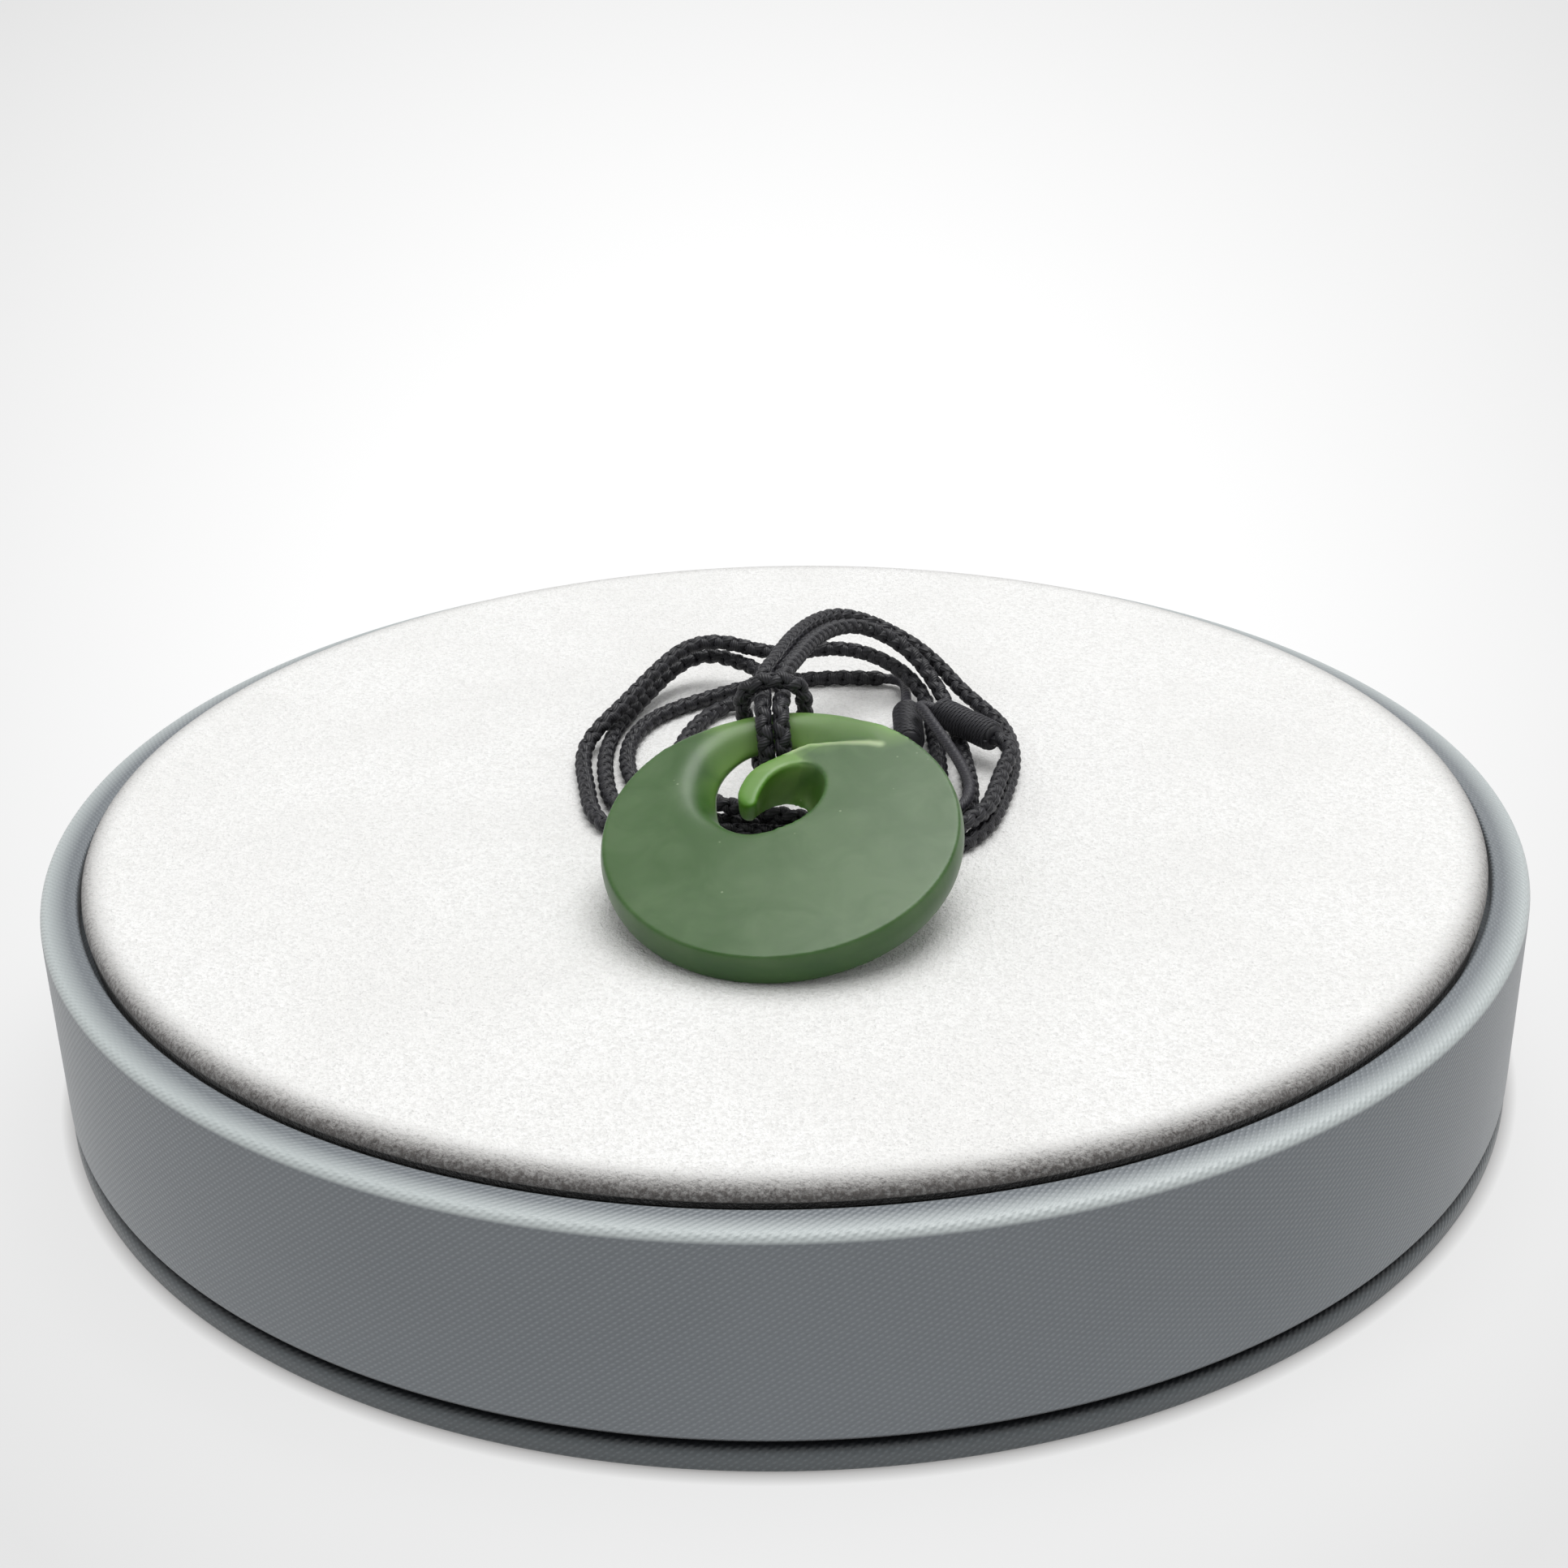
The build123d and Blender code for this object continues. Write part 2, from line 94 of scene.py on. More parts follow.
# %% Cord routes
BRAID_ROUTE = [
    # from the back of the coil round its left side, on the pad
    (0.0117, 0.0284, 0.02585), (0.0082, 0.029, 0.02585), (0.0036, 0.0288, 0.02585),
    (-0.0016, 0.0278, 0.02585), (-0.0053, 0.0258, 0.02585), (-0.0083, 0.0236, 0.02585),
    (-0.0117, 0.021, 0.02585), (-0.0144, 0.018, 0.02585), (-0.0163, 0.0132, 0.02585),
    (-0.0167, 0.008, 0.02585), (-0.0161, 0.003, 0.02585), (-0.0139, -0.0038, 0.02585),
    # under the stone, and up the right side
    (-0.0094, -0.008, 0.02585), (-0.003, -0.0085, 0.02585), (0.0039, -0.0105, 0.02585),
    (0.0108, -0.011, 0.02585), (0.015, -0.0069, 0.02585), (0.0164, -0.0007, 0.02585),
    (0.0166, 0.007, 0.02585), (0.0165, 0.0138, 0.02585),
    # over the back, and down the left side on the outside
    (0.0164, 0.02, 0.02615), (0.0149, 0.0229, 0.02785), (0.0123, 0.0262, 0.02875),
    (0.0092, 0.0288, 0.02915), (0.006, 0.0297, 0.02925), (0.0027, 0.0292, 0.02905),
    (-0.0004, 0.0283, 0.02925), (-0.0033, 0.0284, 0.02985), (-0.0058, 0.0291, 0.03035),
    (-0.0086, 0.0294, 0.03045), (-0.0113, 0.0278, 0.03015), (-0.0134, 0.0243, 0.02965),
    (-0.0155, 0.0202, 0.02895), (-0.0177, 0.0157, 0.02825), (-0.0197, 0.0126, 0.02745),
    (-0.0211, 0.0103, 0.02635),
    # round the front again, outermost
    (-0.0213, 0.0065, 0.02585), (-0.0205, 0.001, 0.02585), (-0.0194, -0.0068, 0.02585),
    (-0.0158, -0.0113, 0.02585), (-0.0099, -0.0128, 0.02585), (-0.0025, -0.0128, 0.02585),
    (0.0047, -0.0147, 0.02585), (0.011, -0.0168, 0.02585), (0.0165, -0.0159, 0.02585),
    (0.0204, -0.011, 0.02585),
    # up the right side, and up off the coil at the back
    (0.0225, -0.0045, 0.02585), (0.0242, 0.0028, 0.02585), (0.0247, 0.009, 0.02585),
    (0.0241, 0.0141, 0.02605), (0.0222, 0.0172, 0.02675), (0.02, 0.0201, 0.02775),
    (0.0181, 0.0237, 0.02895), (0.0158, 0.0262, 0.03035), (0.0128, 0.0276, 0.03185),
    (0.0095, 0.0277, 0.03345),
    # the first leg, over the coil to the hitch
    (0.0062, 0.0258, 0.03485), (0.0033, 0.0195, 0.03625), (0.0009, 0.0105, 0.03775),
    (-0.0005, 0.0021, 0.0389), (-0.0014, -0.0023, 0.03975),
    # over the arm, down through the eye, back under the arm and up behind it
    (-0.00186, -0.00498, 0.03965), (-0.00172, -0.00692, 0.03817), (-0.00183, -0.00948, 0.03932),
    (-0.0018, -0.01169, 0.03901), (-0.00166, -0.01319, 0.03746), (-0.00142, -0.01355, 0.03485),
    (-0.00135, -0.01277, 0.03247), (-0.00183, -0.01047, 0.03224), (-0.00263, -0.00775, 0.03321),
    (-0.00332, -0.00686, 0.03537), (-0.00383, -0.00743, 0.03756),
    # across both legs, which makes it a hitch
    (-0.00389, -0.00823, 0.03983), (-0.00234, -0.00864, 0.041), (-0.00105, -0.00867, 0.04122),
    (0.00025, -0.00864, 0.04124), (0.00199, -0.00823, 0.04037),
    # down behind the arm, up through the eye and back over the arm
    (0.00235, -0.00743, 0.03813), (0.00225, -0.00686, 0.03588), (0.00196, -0.00775, 0.03364),
    (0.00115, -0.01047, 0.03254), (0.00062, -0.01277, 0.03268), (0.00026, -0.01355, 0.03503),
    (0.00003, -0.01319, 0.03764), (-0.00009, -0.01169, 0.03919), (-0.00004, -0.00948, 0.03949),
    (0.00017, -0.00692, 0.03835), (0.00003, -0.00498, 0.03982),
    # the second leg, over the coil and down at its right
    (0.0006, -0.0023, 0.03985), (0.0015, 0.0024, 0.0389), (0.003, 0.0109, 0.03735),
    (0.0056, 0.0195, 0.03565), (0.0088, 0.0241, 0.03415), (0.0122, 0.0251, 0.03235),
    (0.0149, 0.024, 0.03055), (0.0168, 0.0216, 0.02875), (0.0183, 0.0183, 0.02695),
    (0.019, 0.0127, 0.02605),
    # the third turn: under the stone, and up the left side
    (0.0194, 0.0047, 0.02585), (0.0195, -0.0024, 0.02585), (0.0186, -0.0079, 0.02585),
    (0.0153, -0.0133, 0.02585), (0.0108, -0.0146, 0.02585), (0.0047, -0.0127, 0.02585),
    (-0.0027, -0.0107, 0.02585), (-0.0099, -0.0106, 0.02585), (-0.015, -0.0083, 0.02585),
    (-0.0178, -0.0031, 0.02585), (-0.0187, 0.0033, 0.02585), (-0.019, 0.0085, 0.02585),
    (-0.0184, 0.0146, 0.02585), (-0.0168, 0.0201, 0.02585),
    # over the back, and down through the middle of the coil
    (-0.0149, 0.0244, 0.02635), (-0.013, 0.0277, 0.02715), (-0.0105, 0.0301, 0.02805),
    (-0.0077, 0.0306, 0.02835), (-0.0048, 0.0289, 0.02805), (-0.0026, 0.0266, 0.02805),
    (-0.002, 0.0239, 0.02755), (-0.0037, 0.0218, 0.02665), (-0.0062, 0.0209, 0.02595),
    (-0.0082, 0.0188, 0.02585), (-0.0101, 0.0141, 0.02585), (-0.0112, 0.0085, 0.02585),
    # over the lower turns under the stone, and up to the second knot's right end
    (-0.0115, 0.0018, 0.02615), (-0.0105, -0.0037, 0.02725), (-0.0069, -0.0081, 0.02775),
    (-0.00101, -0.01073, 0.0277), (0.00539, -0.01315, 0.0277), (0.01128, -0.01557, 0.0277),
    (0.01649, -0.01515, 0.0277), (0.02026, -0.01087, 0.0277), (0.02159, -0.00597, 0.0277),
    (0.0224, -0.0025, 0.02775), (0.0232, 0.0001, 0.02785), (0.02389, 0.00214, 0.028),
    (0.02379, 0.004, 0.02823), (0.02256, 0.00539, 0.02835),
]
THIN_ROUTE = [
    # from the braid's start, down through the first knot
    (0.01174, 0.02839, 0.02585), (0.01293, 0.02819, 0.02585), (0.01388, 0.02705, 0.02595),
    (0.01417, 0.02484, 0.02615), (0.01386, 0.01859, 0.0266), (0.01365, 0.00686, 0.0266),
    (0.01305, 0.00207, 0.02615),
    # round behind the stone's edge
    (0.01214, -0.00265, 0.02605), (0.01191, -0.0072, 0.02715), (0.01268, -0.01069, 0.02775),
    (0.01533, -0.01211, 0.02775), (0.0179, -0.01027, 0.02775), (0.01902, -0.00639, 0.0278),
    # up over the first knot, and round into the second knot's left end
    (0.01885, -0.00291, 0.02795), (0.01799, 0.00128, 0.02835), (0.01683, 0.00518, 0.0289),
    (0.01575, 0.00837, 0.02945), (0.01527, 0.01012, 0.02965), (0.01481, 0.01116, 0.0296),
    (0.01503, 0.01195, 0.0294), (0.01568, 0.0124, 0.02915), (0.01645, 0.01229, 0.02895),
    (0.01694, 0.01174, 0.0289),
]
THIN_WIDTH = 1.2 * MM
PARTS_A_POINT = 16
CLOSEST = 0.01 * MM


def smooth_line(points):
    """The points of a smooth spline that has the route's points as its control points."""
    curve = bpy.data.curves.new("line", "CURVE")
    curve.dimensions = "3D"
    curve.resolution_u = PARTS_A_POINT
    spline = curve.splines.new("NURBS")
    spline.points.add(len(points) - 1)
    for control, point in zip(spline.points, points):
        control.co = (*point, 1)
    spline.order_u = 3
    spline.use_endpoint_u = True
    holder = new_object("line", curve)
    mesh = bpy.data.meshes.new_from_object(holder)
    line = np.array([vertex.co for vertex in mesh.vertices])
    apart = np.linalg.norm(np.diff(line, axis=0), axis=1) > CLOSEST
    line = line[np.concatenate([[True], apart])]
    bpy.data.objects.remove(holder)
    bpy.data.curves.remove(curve)
    bpy.data.meshes.remove(mesh)
    return line


def steps_along(line):
    """How far along a line each of its points is."""
    return np.concatenate([[0], np.cumsum(np.linalg.norm(np.diff(line, axis=0), axis=1))])


braid_line = smooth_line(BRAID_ROUTE)
thin_line = smooth_line(THIN_ROUTE)
for name, line in (("braid", braid_line), ("thin cord", thin_line)):
    print(name, round(steps_along(line)[-1] * 1000, 1), "mm long")

# %% [markdown]
# A strand keeps its place round the cord only if the cord's two cross directions are carried from point
# to point without twisting. Taking them from the line's own bend would make them jump where it is straight.

# %% Directions along a cord
def unit(vectors):
    return vectors / np.linalg.norm(vectors, axis=-1, keepdims=True)


def evenly(line, step):
    """The same line with its points one step apart, and how far along it each one is."""
    along = steps_along(line)
    count = max(2, int(round(along[-1] / step)) + 1)
    marks = np.linspace(0, along[-1], count)
    return np.stack([np.interp(marks, along, line[:, i]) for i in range(3)], 1), marks


def carried_frames(line):
    """Two directions across the line at each point, carried along it without twisting."""
    tangents = unit(np.gradient(line, axis=0))
    across = unit(np.cross(tangents[0], (0, 0, 1.0)))
    first = np.zeros_like(line)
    for i, tangent in enumerate(tangents):
        across = unit(across - tangent * (across @ tangent))
        first[i] = across
    return first, np.cross(tangents, first)


print("millimetre steps along the braid:", len(evenly(braid_line, MM)[1]))

# %% [markdown]
# A strand is a tube with an oval section, and its rings stand across its own centre line. A bevelled
# curve would make a tube too, but it gives no say in how the oval leans.

# %% Skins for strands
STRAND_SIDES = 8


def ring_angles(sides):
    return np.arange(sides) * 2 * math.pi / sides


def tube_faces(count, sides, along, shift, clockwise):
    """Faces between a tube's rings and over its ends, all outwards. UV: round it, along it."""
    quad = ((0, 0), (0, 1), (1, 1), (1, 0)) if clockwise else ((0, 0), (1, 0), (1, 1), (0, 1))
    faces, uvs = [], []
    for i in range(count - 1):
        for j in range(sides):
            faces.append(tuple(shift + (i + b) * sides + (j + a) % sides for a, b in quad))
            uvs += [((j + a) / sides, along[i + b]) for a, b in quad]
    start = range(shift, shift + sides)
    end = range(shift + (count - 1) * sides, shift + count * sides)
    faces += [tuple(start), tuple(reversed(end))] if clockwise else [tuple(reversed(start)), tuple(end)]
    uvs += [(0.5, along[0])] * sides + [(0.5, along[-1])] * sides
    return faces, uvs


def strand_skin(centres, outward, half_wide, half_high, sides, shift):
    """Rings of an oval strand round its centre line, with its faces and UVs."""
    tangents = unit(np.gradient(centres, axis=0))
    high = unit(outward - tangents * np.sum(outward * tangents, axis=1, keepdims=True))
    wide = np.cross(tangents, high)
    turn = ring_angles(sides)[None, :, None]
    rings = (
        centres[:, None]
        + half_wide * np.cos(turn) * wide[:, None]
        + half_high * np.sin(turn) * high[:, None]
    )
    faces, uvs = tube_faces(len(centres), sides, steps_along(centres) / MM, shift, clockwise=True)
    return rings.reshape(-1, 3), faces, uvs


def mesh_piece(name, points, faces, uvs):
    """A mesh object at the origin, with its faces smooth and a UV for each face corner."""
    mesh = bpy.data.meshes.new(name)
    mesh.from_pydata([tuple(p) for p in points], [], faces)
    layer = mesh.uv_layers.new(name="lay")
    layer.data.foreach_set("uv", np.asarray(uvs, dtype=np.float32).ravel())
    mesh.shade_smooth()
    mesh.validate()
    return new_object(name, mesh)


print("a strand has", STRAND_SIDES, "sides")

# %% [markdown]
# A four-strand round braid has two strands that climb to the left and two that climb to the right.
# Each goes over one crossing and under the next, so its distance from the middle rises and falls
# twice in a turn. The strands are wider than they are thick, as waxed cord is when it is pulled tight.

# %% The braided cord
BRAID_TURN = 3.7 * MM
BRAID_STEP = 0.225 * MM
STRAND_HALF_WIDE = 0.52 * MM
STRAND_HALF_HIGH = 0.33 * MM
STRAND_RING = 0.48 * MM
STRAND_WEAVE = 0.13 * MM


def plaited(name, line):
    """Four strands plaited round a line."""
    points, marks = evenly(line, BRAID_STEP)
    first, second = carried_frames(points)
    phase = 2 * math.pi * marks / BRAID_TURN
    skin, faces, uvs = [], [], []
    for climb in (1, -1):
        for start in (0, math.pi):
            angle = climb * phase + start
            reach = STRAND_RING + climb * STRAND_WEAVE * np.cos(2 * phase)
            outward = np.cos(angle)[:, None] * first + np.sin(angle)[:, None] * second
            rings, strand_faces, strand_uvs = strand_skin(
                points + outward * reach[:, None], outward, STRAND_HALF_WIDE, STRAND_HALF_HIGH,
                STRAND_SIDES, sum(len(s) for s in skin),
            )
            skin.append(rings)
            faces += strand_faces
            uvs += strand_uvs
    return mesh_piece(name, np.concatenate(skin), faces, uvs)


braid = plaited("braid", braid_line)
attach(braid, "root")
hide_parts("braided_cord")
print("braid", len(braid.data.polygons), "faces")

# %% [markdown]
# The thin cord is smooth: three fine yarns laid together and waxed. They hardly show, so it is one
# tube whose section is three soft lobes that turn slowly along it.

# %% The thin cord
THIN_STEP = 0.14 * MM
THIN_SIDES = 18
THIN_TURN = 2.6 * MM
LOBES = 3
LOBE_DEPTH = 0.1


def laid(name, line, width):
    """A tube with soft lobes that turn along a line."""
    points, marks = evenly(line, THIN_STEP)
    first, second = carried_frames(points)
    turn = ring_angles(THIN_SIDES)[None]
    twist = 2 * math.pi * marks[:, None] / THIN_TURN
    lobe = np.abs(np.cos(LOBES / 2 * (turn - twist)))
    reach = width / 2 * (1 - LOBE_DEPTH * (1 - lobe))
    rings = (
        points[:, None]
        + (reach * np.cos(turn))[:, :, None] * first[:, None]
        + (reach * np.sin(turn))[:, :, None] * second[:, None]
    )
    faces, uvs = tube_faces(len(points), THIN_SIDES, marks / MM, 0, clockwise=False)
    return mesh_piece(name, rings.reshape(-1, 3), faces, uvs)


thin = laid("laid_cord", thin_line, THIN_WIDTH)
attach(thin, "root")
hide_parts("thin_cord")
print("thin cord", len(thin.data.polygons), "faces")

# %% [markdown]
# A slide knot is a barrel of whipping: the cord's own end is wound round the pair many times and
# pulled tight, and both ends of the barrel taper a little. It could be a ribbed tube, but the turns
# of real whipping lean and are never quite even, so each barrel is one long winding over a core.

# %% The slide knots
KNOT_1 = Vector((13.83, 17.09, 26.60)) * MM, Vector((13.68, 8.36, 26.60)) * MM
KNOT_2 = Vector((16.97, 11.71, 28.90)) * MM, Vector((22.53, 5.42, 28.35)) * MM
KNOT_HALF = 1.65 * MM
KNOT_TAPER = 0.9 * MM
DRAWN_IN = 0.34
WIND_PITCH = 0.42 * MM
WIND_HALF_WIDE = 0.53 * WIND_PITCH
WIND_HALF = 0.26 * MM
WIND_SWAY = 0.035
STEPS_A_TURN = 40
CORE_INSET = 0.12 * MM
CORE_RINGS = 40
CORE_SIDES = 24


def barrel_reach(along, length):
    """How far the winding stands from the axis: full in the middle, drawn in at both ends."""
    edge = np.clip(np.minimum(along, length - along) / KNOT_TAPER, 0, 1)
    return (KNOT_HALF - WIND_HALF) * (1 - DRAWN_IN + DRAWN_IN * np.sqrt(1 - (1 - edge) ** 2))


def whipped_barrel(name, ends, seed):
    """A barrel of one cord wound tightly round a hidden core."""
    start, end = (np.array(e) for e in ends)
    length = float(np.linalg.norm(end - start))
    axis = (end - start) / length
    side = unit(np.cross(axis, (0, 0, 1.0)))
    up = np.cross(side, axis)
    turns = int((length - 2 * WIND_HALF) / WIND_PITCH)
    marks = np.linspace(0, 1, turns * STEPS_A_TURN)
    along = WIND_HALF + marks * (length - 2 * WIND_HALF)
    wander = np.random.default_rng(seed)
    sway = np.interp(marks * turns, np.arange(turns + 1), wander.normal(0, WIND_SWAY, turns + 1)) * MM
    angle = 2 * math.pi * turns * marks
    outward = np.cos(angle)[:, None] * side + np.sin(angle)[:, None] * up
    reach = barrel_reach(along, length) + np.minimum(sway, 0)
    centres = start + along[:, None] * axis + reach[:, None] * outward
    skin, faces, uvs = strand_skin(centres, outward, WIND_HALF_WIDE, WIND_HALF, STRAND_SIDES, 0)
    core_marks = np.linspace(CORE_INSET, length - CORE_INSET, CORE_RINGS)
    core_reach = barrel_reach(core_marks, length)[:, None, None]
    core, core_faces, core_uvs = strand_skin(
        start + core_marks[:, None] * axis, np.tile(side, (CORE_RINGS, 1)), core_reach, core_reach,
        CORE_SIDES, len(skin),
    )
    return mesh_piece(name, np.concatenate([skin, core]), faces + core_faces, uvs + core_uvs)


whipping_1 = whipped_barrel("whipped_barrel_1", KNOT_1, 4)
whipping_2 = whipped_barrel("whipped_barrel_2", KNOT_2, 9)
for piece, node in ((whipping_1, "slide_knot_1"), (whipping_2, "slide_knot_2")):
    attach(piece, "root")
    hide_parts(node)
    print(piece.name, len(piece.data.polygons), "faces")

# %% [markdown]
# The braid goes into the second barrel's right end, and the thin cord into its left end. Each declared
# length lies between the measured tube's and the spline's, which are at most 1.3 mm apart.

print("cords declared:", braid.name, thin.name)

# %% [markdown]
# The stand is turned like a potter's pot: a circle is extruded step by step, and each new ring is
# moved up and scaled to its radius. A screw modifier could do it from a drawn line, but rings put
# more corners where the edge is rounded and few where the wall is straight.

# %% Rings for the stand
ROUND_PARTS = 256
SAME_CORNER = 1e-7
SHARP_FROM = math.radians(32)


def quarter(centre_r, centre_z, size, first, last, count):
    """Ring sizes round a turned edge, as (radius, height) in millimetres."""
    angles = [math.radians(first + (last - first) * i / count) for i in range(count + 1)]
    return [(centre_r + size * math.cos(a), centre_z + size * math.sin(a)) for a in angles]


def turned_piece(name, rings):
    """A closed round piece whose outline passes through rings of (radius, height) in mm."""
    bpy.ops.object.select_all(action="DESELECT")
    radius, height = rings[0]
    bpy.ops.mesh.primitive_circle_add(
        vertices=ROUND_PARTS, radius=radius * MM, fill_type="TRIFAN", location=(0, 0, height * MM))
    piece = bpy.context.object
    piece.name = piece.data.name = name
    bpy.ops.object.transform_apply(location=True, rotation=False, scale=False)
    mesh = piece.data
    rim = [v.index for v in mesh.vertices if v.co.xy.length > radius * MM / 2]
    bpy.ops.object.mode_set(mode="EDIT")
    bpy.ops.mesh.select_mode(type="VERT")
    bpy.ops.mesh.select_all(action="DESELECT")
    bpy.ops.object.mode_set(mode="OBJECT")
    for i in rim:
        mesh.vertices[i].select = True
    bpy.ops.object.mode_set(mode="EDIT")
    bpy.ops.mesh.select_mode(type="EDGE")
    for next_radius, next_height in rings[1:]:
        bpy.ops.mesh.extrude_edges_move(
            TRANSFORM_OT_translate={"value": (0, 0, (next_height - height) * MM)})
        scale = next_radius / radius
        bpy.ops.transform.resize(value=(scale, scale, 1), center_override=(0, 0, next_height * MM))
        radius, height = next_radius, next_height
    bpy.ops.mesh.edge_face_add()
    bpy.ops.mesh.poke()
    bpy.ops.mesh.select_all(action="SELECT")
    bpy.ops.mesh.remove_doubles(threshold=SAME_CORNER)
    bpy.ops.mesh.normals_make_consistent(inside=False)
    bpy.ops.object.mode_set(mode="OBJECT")
    bpy.ops.object.shade_smooth_by_angle(angle=SHARP_FROM)
    print(name, len(mesh.polygons), "faces")
    return piece


print("each ring has", ROUND_PARTS, "corners")

# %% [markdown]
# The covering of the wall is a printed sheet, so its twill follows the surface: round the drum in
# one direction and down the wall in the other. The UV map gives both in millimetres. The twill is a
# whole number of lines round the drum, so that it meets itself at the back.

# %% A wrapped sheet
COVER_ROUND = 471.0
ON_AXIS = 1e-6


def wrap_sheet(piece, outline):
    """The piece's UV in millimetres: round it, and along its outline."""
    mesh = piece.data
    layer = mesh.uv_layers.active
    r_of = np.array([r for r, z in outline])
    z_of = np.array([z for r, z in outline])
    steps = steps_along(np.array(outline))
    for face in mesh.polygons:
        home = math.atan2(face.center.x, -face.center.y)
        for loop in face.loop_indices:
            point = mesh.vertices[mesh.loops[loop].vertex_index].co / MM
            radius = math.hypot(point.x, point.y)
            angle = math.atan2(point.x, -point.y) if radius > ON_AXIS else home
            if angle - home > math.pi:
                angle -= math.tau
            elif home - angle > math.pi:
                angle += math.tau
            near = int(np.argmin(np.hypot(r_of - radius, z_of - point.z)))
            layer.data[loop].uv = (angle / math.tau * COVER_ROUND, steps[near])


print("the sheet goes", COVER_ROUND, "mm round")

# %% [markdown]
# The foot is a low disc whose outer edge is a rounded bead, with a narrower seat on top for the drum.

# %% The stand's foot
foot_rings = (
    [(73.0, 0.0)] + quarter(74.3, 0.55, 0.55, -90, 0, 6) + quarter(73.75, 1.25, 1.1, 0, 90, 8)
    + [(73.1, 2.37), (72.7, 2.9), (71.5, 2.9)]
)
foot = turned_piece("base_plate", foot_rings)
wrap_sheet(foot, foot_rings)
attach(foot, "root")
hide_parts("stand_foot")

# %% [markdown]
# The drum's top edge is a soft roll, and inside it the recess drops to the pad's seat. Its lower
# edge is turned under and lies on the foot's seat, so that a joint line runs between the two; painted shade
# makes it dark.

# %% The stand's drum
drum_rings = (
    [(72.0, 2.92), (73.7, 2.95)] + quarter(74.15, 3.75, 0.75, -90, 0, 6)
    + [(74.92, 6.0), (74.93, 9.0), (74.95, 12.0), (74.96, 15.0), (74.98, 18.0), (74.99, 21.0)]
    + quarter(74.1, 22.25, 0.88, 0, 78, 10) + [(73.4, 23.17), (72.4, 23.2)]
    + quarter(71.7, 22.83, 0.35, 90, 180, 5) + [(71.35, 22.2), (71.35, 20.95)]
)
drum = turned_piece("covered_drum", drum_rings)
wrap_sheet(drum, drum_rings)
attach(drum, "root")
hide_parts("stand_drum")

# %% [markdown]
# The pad is a stiff disc with suede glued over it, so its edge is a roll about one and a half
# millimetres deep, with a fuzzy nap. It is a padded piece, but a tight one.

# %% The suede pad
pad_rings = (
    [(70.1, 20.95)] + quarter(70.2, 21.45, 0.5, -90, 0, 4)
    + [(70.7, 22.6)] + quarter(70.7, 22.95, 0.2, -90, 0, 4)
    + quarter(69.45, 23.45, 1.5, 0, 90, 16) + [(66.0, 24.95), (50.0, 24.95), (30.0, 24.95)]
)
pad = turned_piece("suede_pad", pad_rings)
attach(pad, "root")
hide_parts("stand_pad")

# %% [markdown]
# The stone was carved, ground and then tumbled to a satin finish, so nothing on it is sharp. A copy
# of the measured disc is remeshed finely and smoothed, which softens every edge by the same little
# amount. Beveling the edges one by one would leave facets where the carving runs out.

# %% The greenstone
STONE_VOXEL = 0.176 * MM
TUMBLE_ROUNDS = 6
SMOOTH_SHARE = 0.5
LOOSE_CORNER = 1e-6


def smoothed(piece, name, rounds, band=""):
    """Smooths a piece over some rounds, all of it or one vertex group."""
    modifier = piece.modifiers.new(name, "SMOOTH")
    modifier.factor = SMOOTH_SHARE
    modifier.iterations = rounds
    modifier.vertex_group = band
    bpy.ops.object.modifier_apply(modifier=modifier.name)


stone = new_object("greenstone_koru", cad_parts["koru_stone"].data.copy())
stone.data.name = stone.name
bpy.ops.object.select_all(action="DESELECT")
stone.select_set(True)
bpy.context.view_layer.objects.active = stone
bpy.ops.object.mode_set(mode="EDIT")
bpy.ops.mesh.select_all(action="SELECT")
bpy.ops.mesh.remove_doubles(threshold=LOOSE_CORNER)
bpy.ops.object.mode_set(mode="OBJECT")
remesh = stone.modifiers.new("even_skin", "REMESH")
remesh.mode = "VOXEL"
remesh.voxel_size = STONE_VOXEL
bpy.ops.object.modifier_apply(modifier=remesh.name)
smoothed(stone, "tumbled", TUMBLE_ROUNDS)
bpy.ops.object.shade_smooth()
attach(stone, "root")
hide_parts("koru_stone")
print("stone", sum(len(p.vertices) - 2 for p in stone.data.polygons), "triangles")

# %% [markdown]
# The slope into the eye was ground with a soft wheel, so on its outer side it runs into the face with no
# line at all. A vertex group holds a band along that crest, strongest on it, and a second, longer
# smoothing works on the band alone. Bevels can't do this, because the crest runs out at both ends. The
# hook was rubbed round by hand, so it gets a shorter smoothing of its own.

# %% Soften the slope's crest and the hook
CREST = [
    (-4.6, -25.5, 33.4), (-6.3, -24.6, 33.5), (-7.8, -22.9, 33.8), (-8.8, -20.0, 34.5), (-8.1, -15.2, 35.9),
    (-6.5, -12.9, 36.7), (-4.0, -11.4, 37.4), (-0.7, -10.8, 37.8), (2.6, -11.2, 38.0), (5.6, -12.4, 37.9),
]
HOOK = [
    (1.6, -16.1, 36.1), (-1.1, -16.8, 35.7), (-2.7, -18.8, 34.9), (-3.4, -21.5, 34.0), (-3.4, -23.2, 33.5),
]


def fading(distance, near, far):
    """1 up to the near distance, and evenly down to 0 at the far one."""
    return min(1.0, max(0.0, (far - distance) / (far - near)))


def distance_to(line, point):
    """How far a point is from a line of points."""
    nearest = 1.0
    for start, end in zip(line, line[1:]):
        run = end - start
        share = min(1.0, max(0.0, (point - start).dot(run) / run.length_squared))
        nearest = min(nearest, (point - start - run * share).length)
    return nearest


def nearness(piece, line, near, far):
    """For each corner, 1 near a line given in mm, and 0 beyond the far distance."""
    ends = [Vector(p) * MM for p in line]
    return [fading(distance_to(ends, vertex.co) / MM, near, far) for vertex in piece.data.vertices]


